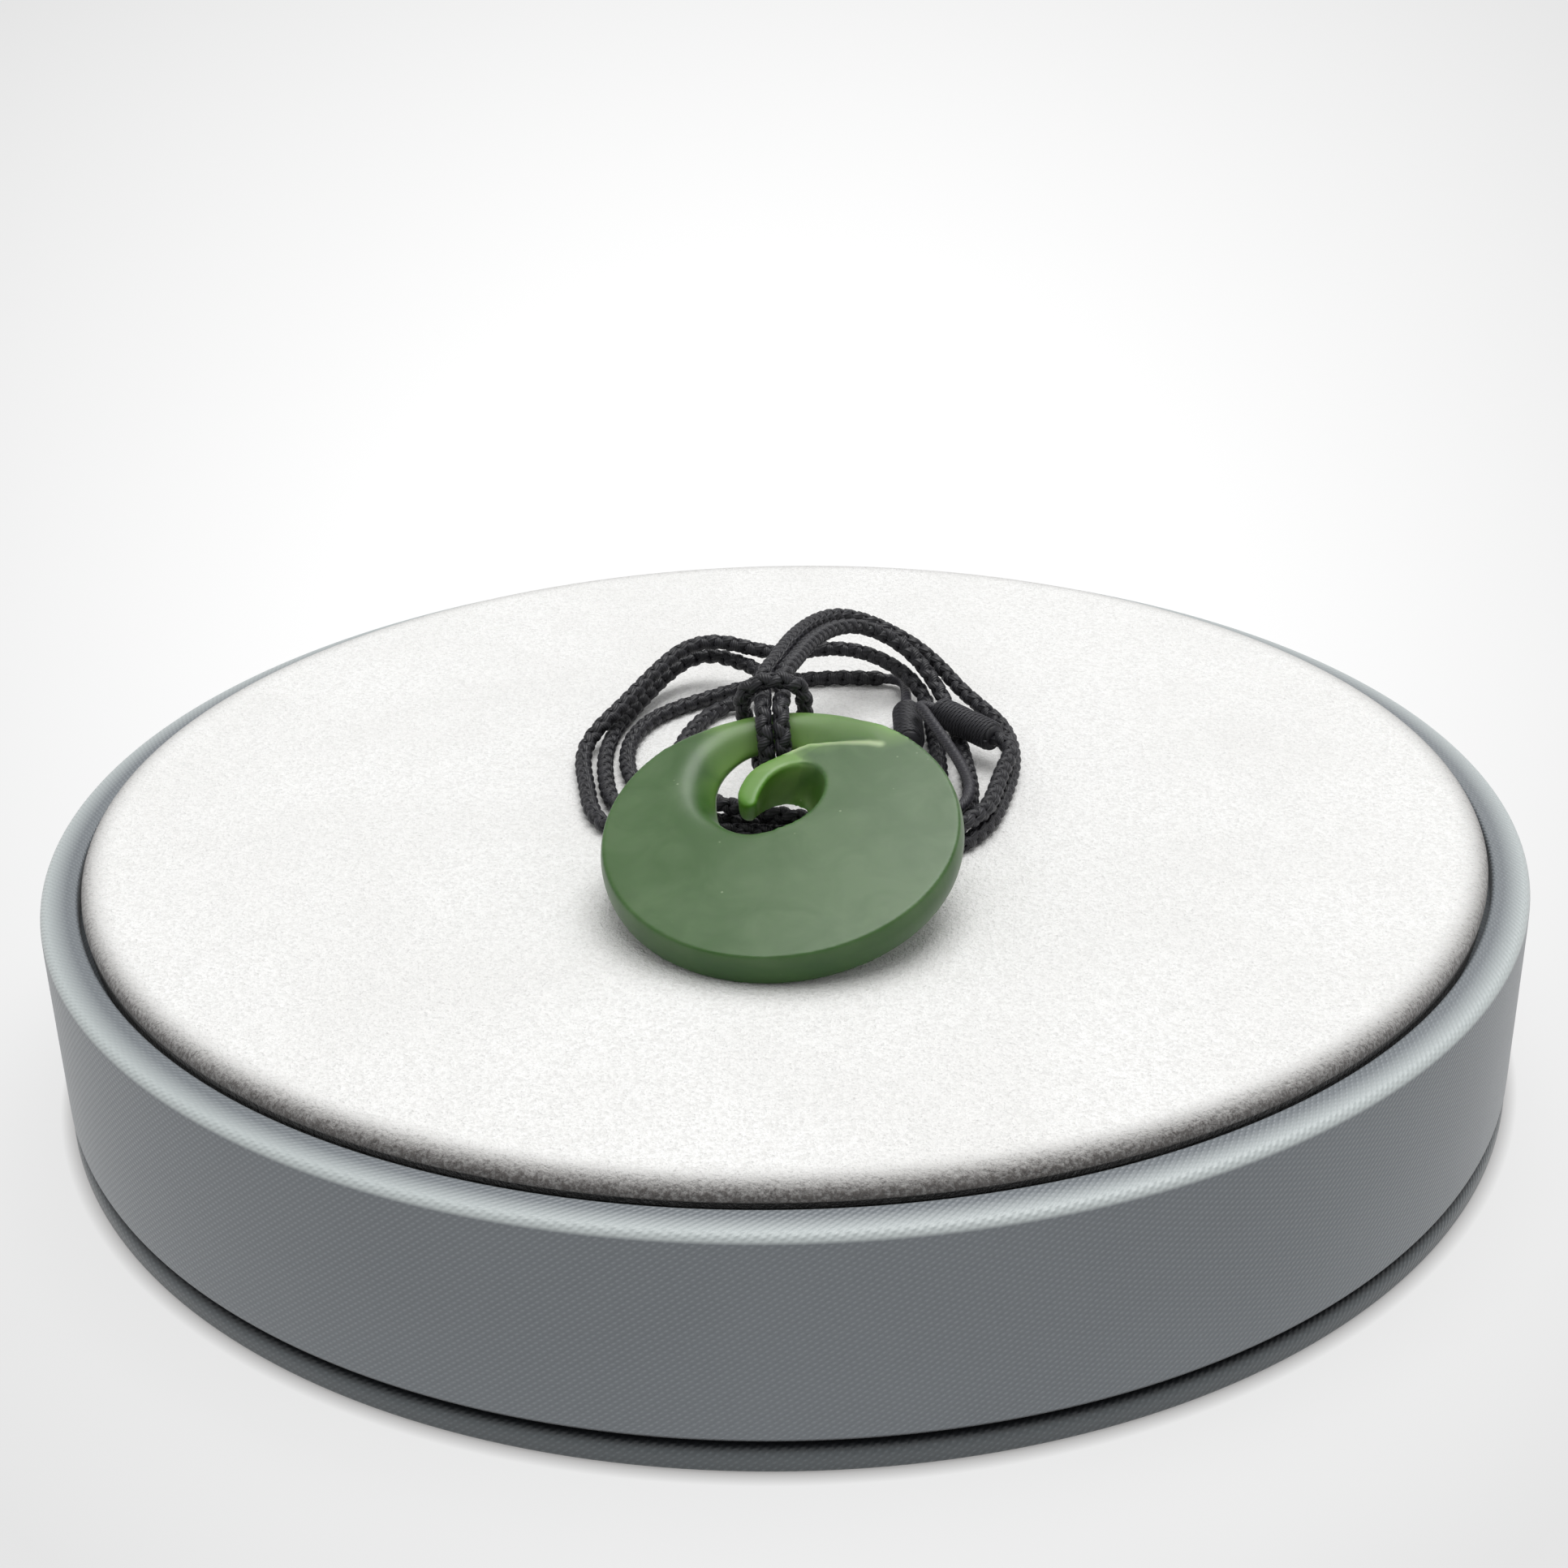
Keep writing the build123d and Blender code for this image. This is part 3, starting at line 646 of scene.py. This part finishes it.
def soften_band(piece, name, line, near, far, rounds):
    """A smoothing of the band along a line, full up to the near distance and none at the far one."""
    band = piece.vertex_groups.new(name=name)
    for index, weight in enumerate(nearness(piece, line, near, far)):
        if weight > 0:
            band.add([index], weight, "REPLACE")
    smoothed(piece, name, rounds, band.name)


soften_band(stone, "crest", CREST, near=0.8, far=4.0, rounds=260)
soften_band(stone, "hook", HOOK, near=1.8, far=3.0, rounds=24)
print("stone", [round(v * 1000, 2) for v in stone.dimensions], "mm")

# %% [markdown]
# Light goes a few millimetres into greenstone, so the hook's tip, the sloped arm and the walls of the eye
# glow a bright yellow green and the thick face is deep. That glow is painted into the colour by how thin
# the stone is: rays cast inwards from each corner of the mesh measure that, and the finish reads it as an
# attribute. The outer rim is thin to a ray as well, but the whole disc lies behind it, so the painted glow
# keeps to the arm, the hook and the wall of the eye.

# %% Where the stone is thin
GLOW_DEPTH = 2.4 * MM
GLOW_PLACES = [
    (-3.5, -10.5, 37.2), (3.0, -10.0, 38.0), (-5.5, -19.0, 34.0), (-4.5, -14.5, 36.0), (0.0, -12.0, 37.0),
    (5.0, -13.0, 37.5), (8.0, -14.0, 37.0), (-1.0, -17.5, 35.5), (-2.0, -20.5, 34.0), (2.5, -19.5, 31.8),
]
GLOW_REACH = 2.6, 5.6
LEANING_RAYS = 5
RAY_LEAN = math.radians(55)
RAY_START = 0.03 * MM
# A painted highlight: a pale line along the groove's crest, where the light would gleam.
PAINTED_HIGHLIGHT_LINE = [
    (0.6, -15.6, 36.7), (2.6, -14.7, 37.2), (5.6, -14.9, 37.5), (8.3, -15.3, 37.5), (9.4, -15.7, 37.5),
]
PAINTED_HIGHLIGHT_REACH = 0.12, 0.65


def inward_rays(normal):
    """Directions into the stone at a corner: one straight in, and others that lean round it."""
    inward = -normal
    side = inward.orthogonal().normalized()
    other = inward.cross(side)
    rays = [inward]
    for i in range(LEANING_RAYS):
        turn = i * math.tau / LEANING_RAYS
        lean = math.cos(turn) * side + math.sin(turn) * other
        rays.append(math.cos(RAY_LEAN) * inward + math.sin(RAY_LEAN) * lean)
    return rays


def painted_glow_of(piece):
    """How thin a piece is at each corner, from 0 for thick to 1, in the places where its glow is painted."""
    mesh = piece.data
    skin = BVHTree.FromPolygons([v.co for v in mesh.vertices], [p.vertices for p in mesh.polygons])
    glow_here = []
    for vertex in mesh.vertices:
        rays = inward_rays(vertex.normal)
        depths = [skin.ray_cast(vertex.co + rays[0] * RAY_START, ray)[3] or 0.0 for ray in rays]
        glow = sum(math.exp(-depth / GLOW_DEPTH) for depth in depths) / len(rays)
        nearest = min((vertex.co / MM - Vector(place)).length for place in GLOW_PLACES)
        glow_here.append(glow * fading(nearest, *GLOW_REACH))
    return glow_here


def store(piece, name, values):
    """Keeps one number for each corner of a piece, for its finish to read."""
    piece.data.attributes.new(name, "FLOAT", "POINT").data.foreach_set("value", values)
    print(piece.name, name, "from", round(min(values), 2), "to", round(max(values), 2))


store(stone, "thinness", painted_glow_of(stone))
store(stone, "lit_line", nearness(stone, PAINTED_HIGHLIGHT_LINE, *PAINTED_HIGHLIGHT_REACH))

# %% [markdown]
# Every finish below is made of nodes. These helpers add a node and feed its sockets, with a link or a
# plain value, and start a shader group.

# %% Node helpers
PLACE = "NodeSocketVector"
NUMBER = "NodeSocketFloat"


def feed(tree, socket, source):
    """Feeds a socket with a link or with a plain value."""
    if isinstance(source, bpy.types.NodeSocket):
        tree.links.new(source, socket)
    else:
        socket.default_value = source


def add(tree, kind, feeds=None, **settings):
    """A node with its settings, each named socket fed."""
    node = tree.nodes.new(kind)
    for name, value in settings.items():
        setattr(node, name, value)
    for name, source in (feeds or {}).items():
        feed(tree, node.inputs[name], source)
    return node


def calc(tree, operation, first, second=0.0, third=0.0):
    """One step of arithmetic."""
    return add(tree, "ShaderNodeMath", {0: first, 1: second, 2: third}, operation=operation).outputs[0]


def times(tree, first, second):
    return calc(tree, "MULTIPLY", first, second)


def split(tree, place):
    """The three numbers of a place."""
    return add(tree, "ShaderNodeSeparateXYZ", {"Vector": place}).outputs


def group_of(name, inputs, outputs):
    """An empty shader group with its sockets, and its input and output nodes."""
    tree = bpy.data.node_groups.new(name, "ShaderNodeTree")
    for title, kind, start in inputs:
        socket = tree.interface.new_socket(title, in_out="INPUT", socket_type=kind)
        if start is not None:
            socket.default_value = start
    for title, kind in outputs:
        tree.interface.new_socket(title, in_out="OUTPUT", socket_type=kind)
    return tree, tree.nodes.new("NodeGroupInput").outputs, tree.nodes.new("NodeGroupOutput").inputs


print("shader groups so far:", len(bpy.data.node_groups))

# %% [markdown]
# Cord is made of fine filaments that run along each strand at a slant. The same effect serves the
# braid, the thin cord and the whipping, each with its own number of filaments, so it is a group: it
# reads a place round and along the strand, and gives a height for the bumps and a tone for the colour.

# %% Filaments
filaments, ins, outs = group_of(
    "filaments",
    [("Place", PLACE, None), ("Round", NUMBER, 6.0), ("Slant", NUMBER, 2.0)],
    [("Height", NUMBER), ("Tone", NUMBER)],
)
round_it, along_it, _ = split(filaments, ins["Place"])
lines = calc(filaments, "ADD", times(filaments, round_it, ins["Round"]),
             times(filaments, along_it, ins["Slant"]))
wave = calc(filaments, "ABSOLUTE", calc(filaments, "SINE", times(filaments, lines, math.pi)))
patch = add(filaments, "ShaderNodeTexNoise", {"Vector": ins["Place"], "Scale": 3.1, "Detail": 2.0})
feed(filaments, outs["Height"], wave)
feed(filaments, outs["Tone"], times(filaments, calc(filaments, "POWER", wave, 2.0), patch.outputs["Fac"]))
print("group", filaments.name)

# %% [markdown]
# Surfaces here are never one even tone. Fine grain is two noises, a small one for the grain and a
# large one for soft patches, read from the object's own coordinates.

# %% Grain
grain, ins, outs = group_of(
    "grain",
    [("Place", PLACE, None), ("Fineness", NUMBER, 3000.0), ("Patches", NUMBER, 60.0)],
    [("Fine", NUMBER), ("Patch", NUMBER)],
)
for scale, detail, roughness, result in (("Fineness", 3.0, 0.6, "Fine"), ("Patches", 4.0, 0.55, "Patch")):
    noise = add(grain, "ShaderNodeTexNoise", {
        "Vector": ins["Place"], "Scale": ins[scale], "Detail": detail, "Roughness": roughness})
    feed(grain, outs[result], noise.outputs["Fac"])
print("group", grain.name)


def own_place(tree):
    """The piece's own coordinates, which are in metres."""
    return add(tree, "ShaderNodeTexCoord").outputs["Object"]


def grained(tree, fineness, patches):
    """The fine grain and the soft patches on a piece's own coordinates."""
    feeds = {"Place": own_place(tree), "Fineness": fineness, "Patches": patches}
    return add(tree, "ShaderNodeGroup", feeds, node_tree=grain).outputs


# %% [markdown]
# A finish is one material on one piece. Its plain values go straight into the shader's sockets, and what
# changes over the surface is fed by nodes.

# %% Materials
def finish_of(piece, name, **plain):
    """A new material on a piece: its tree and its shader, with the plain sockets set."""
    material = bpy.data.materials.new(name)
    material.use_nodes = True
    shader = material.node_tree.nodes["Principled BSDF"]
    for socket, value in plain.items():
        shader.inputs[socket.replace("_", " ")].default_value = value
    piece.data.materials.clear()
    piece.data.materials.append(material)
    return material.node_tree, shader


def blend_colours(tree, mask, first, second):
    """A colour between two, by a mask. A plain colour is given as red, green and blue."""
    both = {6: first, 7: second}
    plain = {index: (*colour, 1) for index, colour in both.items() if isinstance(colour, tuple)}
    return add(tree, "ShaderNodeMix", {0: mask, **both, **plain}, data_type="RGBA").outputs[2]


def bump(tree, height, distance, strength, normal=None):
    """A bump from a height, over the normal so far."""
    feeds = {"Height": height, "Distance": distance, "Strength": strength}
    if normal is not None:
        feeds["Normal"] = normal
    return add(tree, "ShaderNodeBump", feeds).outputs["Normal"]


print("materials so far:", len(bpy.data.materials))

# %% [markdown]
# Waxed black cord isn't pure black: its filaments shine a cool purple-grey where the light comes
# along them, and the gaps between the strands stay dark. The three cord finishes differ in scale.

# %% Cord finishes
WAX_SHEEN = (0.75, 0.72, 0.85, 1)


def cord_finish(piece, name, dark, pale, around, slant, depth, roughness):
    """Waxed filaments on a strand's own UV."""
    tree, shader = finish_of(
        piece, name, Roughness=roughness, Sheen_Weight=0.05, Sheen_Roughness=0.4, Sheen_Tint=WAX_SHEEN,
        Specular_IOR_Level=0.45)
    lay = add(tree, "ShaderNodeUVMap", uv_map="lay").outputs["UV"]
    yarn = add(tree, "ShaderNodeGroup", {"Place": lay, "Round": around, "Slant": slant}, node_tree=filaments)
    patches = grained(tree, fineness=5200.0, patches=240.0)
    tone = times(tree, times(tree, yarn.outputs["Tone"], patches["Patch"]), 2.2)
    feed(tree, shader.inputs["Base Color"], blend_colours(tree, tone, dark, pale))
    feed(tree, shader.inputs["Roughness"], calc(tree, "MULTIPLY_ADD", patches["Fine"], 0.3, roughness - 0.12))
    feed(tree, shader.inputs["Normal"], bump(tree, yarn.outputs["Height"], depth, 0.8))


cord_finish(braid, "waxed_braid", dark=(0.003, 0.003, 0.004), pale=(0.030, 0.030, 0.038), around=7.0,
            slant=2.4, depth=0.05 * MM, roughness=0.42)
cord_finish(thin, "thin_waxed_cord", dark=(0.006, 0.006, 0.008), pale=(0.05, 0.048, 0.062), around=9.0,
            slant=2.2, depth=0.03 * MM, roughness=0.40)
for piece in (whipping_1, whipping_2):
    cord_finish(piece, "whipping_" + piece.name[-1], dark=(0.008, 0.008, 0.010), pale=(0.05, 0.05, 0.06),
                around=6.0, slant=1.8, depth=0.04 * MM, roughness=0.5)
print("cord finishes on", braid.name, thin.name, whipping_1.name, whipping_2.name)

# %% [markdown]
# The drum is covered in leatherette with a fine slanting twill pressed into it: lines about half a
# millimetre apart, crossed by faint breaks, so that each line is a row of small beads. The beads'
# tops are rubbed a little lighter, and a thin coat and a painted pale sheen give the soft gleam on the rolled
# edge.

# %% Twill
TWILL_ROUND = 624
TWILL_DOWN = -1.6
BREAK_ROUND = 312
BREAK_DOWN = 1.9
twill, ins, outs = group_of("twill", [("Place", PLACE, None)], [("Height", NUMBER), ("Bead", NUMBER)])
round_it, down_it, _ = split(twill, ins["Place"])


def slanting(tree, x, y, round_count, down_rate):
    """A wave whose lines slant across a wrapped sheet, from 0 to 1."""
    phase = calc(tree, "ADD", times(tree, x, math.tau * round_count / COVER_ROUND),
                 times(tree, y, math.tau * down_rate))
    return calc(tree, "MULTIPLY_ADD", calc(tree, "SINE", phase), 0.5, 0.5)


rib = slanting(twill, round_it, down_it, TWILL_ROUND, TWILL_DOWN)
gap = slanting(twill, round_it, down_it, BREAK_ROUND, BREAK_DOWN)
bead = times(twill, rib, calc(twill, "MULTIPLY_ADD", gap, 0.55, 0.45))
feed(twill, outs["Height"], bead)
feed(twill, outs["Bead"], calc(twill, "POWER", bead, 2.2))
print("group", twill.name)

# %% [markdown]
# On the drum and the foot the twill lies over fine grain and soft patches. The drum's top edge has a
# painted pale sheen, and the joint between the two has a painted dark shade. Both go by the height.

# %% Leatherette on the drum and the foot
# The pale sheen on the drum's rolled rim is painted: its colour, the height it starts at and its span
# outwards.
PAINTED_RIM_SHEEN = (0.45, 0.49, 0.49)
RIM_SHEEN_FROM = 22.3 * MM, 22.6 * MM
RIM_SHEEN_OUTSIDE = 72.4 * MM, 74.6 * MM
# The joint between drum and foot is painted near black, as shade.
JOINT_SHADE = (0.014, 0.016, 0.019)


def away(tree, first, second):
    """How far a place is from the middle, from its two distances across."""
    squares = calc(tree, "ADD", times(tree, first, first), times(tree, second, second))
    return calc(tree, "POWER", squares, 0.5)


def ramp(tree, value, low, high, top=1.0):
    """A mask that goes from 0 at the low value to its top at the high one."""
    feeds = {"Value": value, "From Min": low, "From Max": high, "To Max": top}
    return add(tree, "ShaderNodeMapRange", feeds).outputs["Result"]


def leatherette(piece, name, deep, light, press, unshaded_at, joint_shade_at):
    """Pressed leatherette with a painted pale sheen on the rim, unshaded at one height and painted dark with
    shade at the other.
    """
    tree, shader = finish_of(
        piece, name, Coat_Weight=0.12, Coat_Roughness=0.35, Specular_IOR_Level=0.5, Sheen_Weight=0.15,
        Sheen_Roughness=0.35)
    sheet = add(tree, "ShaderNodeUVMap", uv_map="UVMap").outputs["UV"]
    weave = add(tree, "ShaderNodeGroup", {"Place": sheet}, node_tree=twill).outputs
    patches = grained(tree, fineness=2600.0, patches=45.0)
    tone = calc(tree, "MULTIPLY_ADD", patches["Fine"], 0.35, times(tree, weave["Bead"], 0.65))
    base = blend_colours(tree, tone, deep, light)
    worn = blend_colours(tree, times(tree, patches["Patch"], 0.3), base, light)
    x, y, z = split(tree, own_place(tree))
    # Painted highlight: the rolled top edge is painted paler, as its sheen.
    edge = times(tree, ramp(tree, z, *RIM_SHEEN_FROM), ramp(tree, away(tree, x, y), *RIM_SHEEN_OUTSIDE))
    with_rim_sheen = blend_colours(tree, edge, worn, PAINTED_RIM_SHEEN)
    # Painted shade: near the joint, by height, the colour turns near black.
    feed(tree, shader.inputs["Base Color"], blend_colours(tree, ramp(tree, z, unshaded_at, joint_shade_at), with_rim_sheen, JOINT_SHADE))
    feed(tree, shader.inputs["Roughness"], calc(tree, "MULTIPLY_ADD", patches["Fine"], 0.2, 0.34))
    pressed = bump(tree, weave["Height"], press, 0.7)
    feed(tree, shader.inputs["Normal"], bump(tree, patches["Fine"], press * 0.4, 0.4, pressed))


leatherette(drum, "grey_leatherette", deep=(0.108, 0.121, 0.134), light=(0.235, 0.258, 0.277),
            press=0.08 * MM, unshaded_at=3.6 * MM, joint_shade_at=3.3 * MM)
leatherette(foot, "grey_leatherette_foot", deep=(0.055, 0.063, 0.068), light=(0.13, 0.148, 0.158),
            press=0.06 * MM, unshaded_at=1.9 * MM, joint_shade_at=2.3 * MM)
print("leatherette on", drum.name, foot.name)

# %% [markdown]
# The pad is pale suede. Its nap is brushed in soft patches, so some places look white and some a
# cool grey, and single fibres stand up as small dark specks. The rolled edge gets a painted shade,
# mottled like fuzzy nap, and below it the pad's side is near black.

# %% Suede
NAP_WHITE = (0.97, 0.97, 0.96)
NAP_BRUSHED = (0.89, 0.885, 0.87)
NAP_PEBBLE = (0.80, 0.795, 0.78)
NAP_FIBRE = (0.40, 0.385, 0.365)
EDGE_SHADE_COLOUR = (0.130, 0.120, 0.114)
BLACK_SIDE = (0.008, 0.008, 0.008)
EDGE_SHADE_SPAN = 67.6 * MM, 70.9 * MM
BLACK_SIDE_BELOW = 23.42 * MM, 23.30 * MM

tree, shader = finish_of(pad, "pale_suede", Sheen_Weight=0.35, Sheen_Roughness=0.5, Specular_IOR_Level=0.15)
nap = grained(tree, fineness=2300.0, patches=42.0)
flecks = add(tree, "ShaderNodeTexNoise", {
    "Vector": own_place(tree), "Scale": 2300.0, "Detail": 4.0, "Roughness": 0.7}).outputs["Fac"]
brushed = blend_colours(tree, ramp(tree, nap["Patch"], 0.42, 0.68), NAP_WHITE, NAP_BRUSHED)
pebbled = blend_colours(tree, ramp(tree, nap["Fine"], 0.38, 0.62), NAP_PEBBLE, brushed)
speck = times(tree, ramp(tree, flecks, 0.55, 0.74), 0.5)
x, y, z = split(tree, own_place(tree))
# Painted shade: the rolled edge is painted darker towards the outside, mottled by the flecks.
painted_edge_shade = calc(tree, "POWER", ramp(tree, away(tree, x, y), *EDGE_SHADE_SPAN), 2.3)
mottled_edge_shade = times(tree, painted_edge_shade, calc(tree, "MULTIPLY_ADD", flecks, 1.5, 0.2))
nap_colour = blend_colours(tree, mottled_edge_shade, blend_colours(tree, speck, pebbled, NAP_FIBRE), EDGE_SHADE_COLOUR)
# Below about 23.4 mm the pad's side turns near black.
feed(tree, shader.inputs["Base Color"], blend_colours(tree, ramp(tree, z, *BLACK_SIDE_BELOW), nap_colour, BLACK_SIDE))
feed(tree, shader.inputs["Roughness"], calc(tree, "MULTIPLY_ADD", nap["Fine"], 0.1, 0.88))
rough_nap = bump(tree, nap["Fine"], 0.35 * MM, 0.75)
feed(tree, shader.inputs["Normal"], bump(tree, flecks, 0.3 * MM, 0.5, rough_nap))
print("suede on", pad.name)

# %% [markdown]
# Greenstone is nephrite: light goes a few millimetres into it, so thin places glow yellow-green and
# thick ones are deep and greyish. It is cloudy rather than striped, with a few pale flecks, and its
# satin polish gives broad soft highlights. Subsurface scattering and a painted glow do the glow here.
# A refracting glass with a coloured volume would be truer, but it stays noisy and loses the cloudiness.
# The face is painted a greyer sheen and the rim a darker shade, divided by a height along the disc's axis.

# %% Nephrite
STONE_AXIS = (-0.0875, -0.2924, 0.9523)
STONE_MIDDLE = 36.78 * MM
RIM_SHADE_ENDS = STONE_MIDDLE + 1.1 * MM
FACE_SHEEN_STARTS = STONE_MIDDLE + 2.2 * MM
SHADED_RIM_COLOURS = (0.013, 0.066, 0.003), (0.026, 0.086, 0.008)
SHEENED_FACE_COLOURS = (0.027, 0.086, 0.010), (0.056, 0.118, 0.034)
GLOW_COLOUR = (0.145, 0.272, 0.060)
EYE_WALL_GLOW_COLOUR = (0.072, 0.200, 0.011)
PAINTED_HIGHLIGHT_COLOUR = (0.48, 0.58, 0.34)
FLECK_COLOUR = (0.40, 0.48, 0.30)

tree, shader = finish_of(
    stone, "nephrite", Subsurface_Weight=0.45, Subsurface_Scale=1.8 * MM, Subsurface_Radius=(0.35, 1.0, 0.18),
    IOR=1.61, Specular_IOR_Level=0.37, Coat_Weight=0.06, Coat_Roughness=0.18, Coat_IOR=1.5)
here = own_place(tree)
clouds = grained(tree, fineness=900.0, patches=95.0)
haze = add(tree, "ShaderNodeTexNoise", {"Vector": here, "Scale": 210.0, "Detail": 5.0, "Distortion": 0.8})
mix = calc(tree, "MULTIPLY_ADD", haze.outputs["Fac"], 0.45, times(tree, clouds["Patch"], 0.55))
cloudy = ramp(tree, mix, 0.40, 0.60)
through = add(tree, "ShaderNodeVectorMath", {0: here, 1: STONE_AXIS}, operation="DOT_PRODUCT")
# Painted sheen and shade: by height along the disc's axis, the face is painted a greyer green as its sheen
# and the rim a darker green as its shade.
face_sheen_mask = ramp(tree, through.outputs["Value"], RIM_SHADE_ENDS, FACE_SHEEN_STARTS)
thick_with_painted_light = blend_colours(
    tree, face_sheen_mask, blend_colours(tree, cloudy, *SHADED_RIM_COLOURS), blend_colours(tree, cloudy, *SHEENED_FACE_COLOURS))
# Painted glow: thin places are painted a bright yellow green, and the thinnest, the eye's walls, a deep
# saturated green.
thinness = add(tree, "ShaderNodeAttribute", attribute_name="thinness").outputs["Fac"]
glowing = blend_colours(tree, ramp(tree, thinness, 0.08, 0.32), thick_with_painted_light, GLOW_COLOUR)
glowing_walls = blend_colours(tree, ramp(tree, thinness, 0.30, 0.50), glowing, EYE_WALL_GLOW_COLOUR)
# Painted highlight: a pale line along the groove's crest.
highlight_mask = add(tree, "ShaderNodeAttribute", attribute_name="lit_line").outputs["Fac"]
body = blend_colours(tree, times(tree, highlight_mask, 0.7), glowing_walls, PAINTED_HIGHLIGHT_COLOUR)
dots = add(tree, "ShaderNodeTexVoronoi", {"Vector": here, "Scale": 330.0}).outputs["Distance"]
fleck = ramp(tree, dots, 0.05, 0.02, top=0.35)
feed(tree, shader.inputs["Base Color"], blend_colours(tree, fleck, body, FLECK_COLOUR))
feed(tree, shader.inputs["Roughness"], calc(tree, "MULTIPLY_ADD", clouds["Patch"], 0.14, 0.33))
feed(tree, shader.inputs["Normal"], bump(tree, clouds["Fine"], 0.03 * MM, 0.25))
print("nephrite on", stone.name)

# %% [markdown]
# The photograph is a soft studio one. One big softbox hangs over the stand and another behind it, where
# the drum's rim, the stone's face and the wax on the cords mirror it, and pale walls fill in the rest.
# The sweep is lit so strongly from below and behind that the stand has almost no shadow, so most of its
# light is its own. It falls off slowly towards the photograph's corners, so each place on the sweep is
# first worked out as a place in the photograph, from the camera's distance, height and tilt.

# %% Floor
SWEEP_HALF = 6.0
CAMERA_BACK = 0.2225
INTO_PICTURE = 0.906, 0.055
DOWN_PICTURE = -0.423, 0.118
PALEST_UP = 0.023
NEAREST = 0.05
DIMMED = 0.185, 0.471
SHADOW_UNDER_STAND = 73.5 * MM, 76.2 * MM


def grey(tone):
    return (tone, tone, tone)


corners = [(x * SWEEP_HALF, y * SWEEP_HALF, 0) for x, y in ((-1, -1), (1, -1), (1, 1), (-1, 1))]
floor_data = bpy.data.meshes.new("sweep")
floor_data.from_pydata(corners, [], [(0, 1, 2, 3)])
floor = new_object("sweep", floor_data)
tree, shader = finish_of(floor, "white_sweep", Roughness=0.95, Specular_IOR_Level=0.0, Emission_Strength=0.86)
x, y, _ = split(tree, own_place(tree))
from_camera = calc(tree, "ADD", y, CAMERA_BACK)
deep_in = calc(tree, "MAXIMUM", calc(tree, "MULTIPLY_ADD", from_camera, *INTO_PICTURE), NEAREST)
aside = calc(tree, "DIVIDE", x, deep_in)
down = calc(tree, "DIVIDE", calc(tree, "MULTIPLY_ADD", from_camera, *DOWN_PICTURE), deep_in)
spread = away(tree, aside, calc(tree, "ADD", down, PALEST_UP))
dim = ramp(tree, spread, *DIMMED)
feed(tree, shader.inputs["Base Color"], blend_colours(tree, dim, grey(0.148), grey(0.110)))
# Painted shadow: under the stand's edge the sweep gives almost none of its own light, so it is dark there.
clear = ramp(tree, away(tree, x, y), *SHADOW_UNDER_STAND)
own_light = blend_colours(tree, dim, grey(0.955), grey(0.755))
feed(tree, shader.inputs["Emission Color"], blend_colours(tree, clear, (0.10, 0.09, 0.085), own_light))
print("floor", floor.name)

# %% [markdown]
# The room is an even white, and the camera sees it paler than the light it gives. The softboxes are
# area lights: spot lamps would give the rim and the stone small hard gleams.

# %% Light
ROOM_LIGHT = 0.54
ROOM_SEEN = 0.80

world = bpy.data.worlds.new("soft_room")
bpy.context.scene.world = world
world.use_nodes = True
sky = world.node_tree
room = sky.nodes["Background"]
room.inputs["Color"].default_value = (1.0, 1.0, 1.0, 1)
seen = add(sky, "ShaderNodeLightPath").outputs["Is Camera Ray"]
feed(sky, room.inputs["Strength"], calc(sky, "MULTIPLY_ADD", seen, ROOM_SEEN - ROOM_LIGHT, ROOM_LIGHT))


def soft_light(name, place, aim, size, watts):
    """A square softbox at a place, turned to what it lights."""
    data = bpy.data.lights.new(name, "AREA")
    data.size = size
    data.energy = watts
    lamp = new_object(name, data)
    lamp.location = place
    lamp.rotation_euler = (Vector(aim) - Vector(place)).to_track_quat("-Z", "Y").to_euler()


soft_light("back_box", place=(0.42, 0.78, 1.62), aim=(0, 0, 0.02), size=1.1, watts=13.5)
soft_light("high_box", place=(0.05, -0.05, 1.6), aim=(0, 0, 0.02), size=1.2, watts=14.0)
bpy.context.scene.view_settings.view_transform = "Standard"
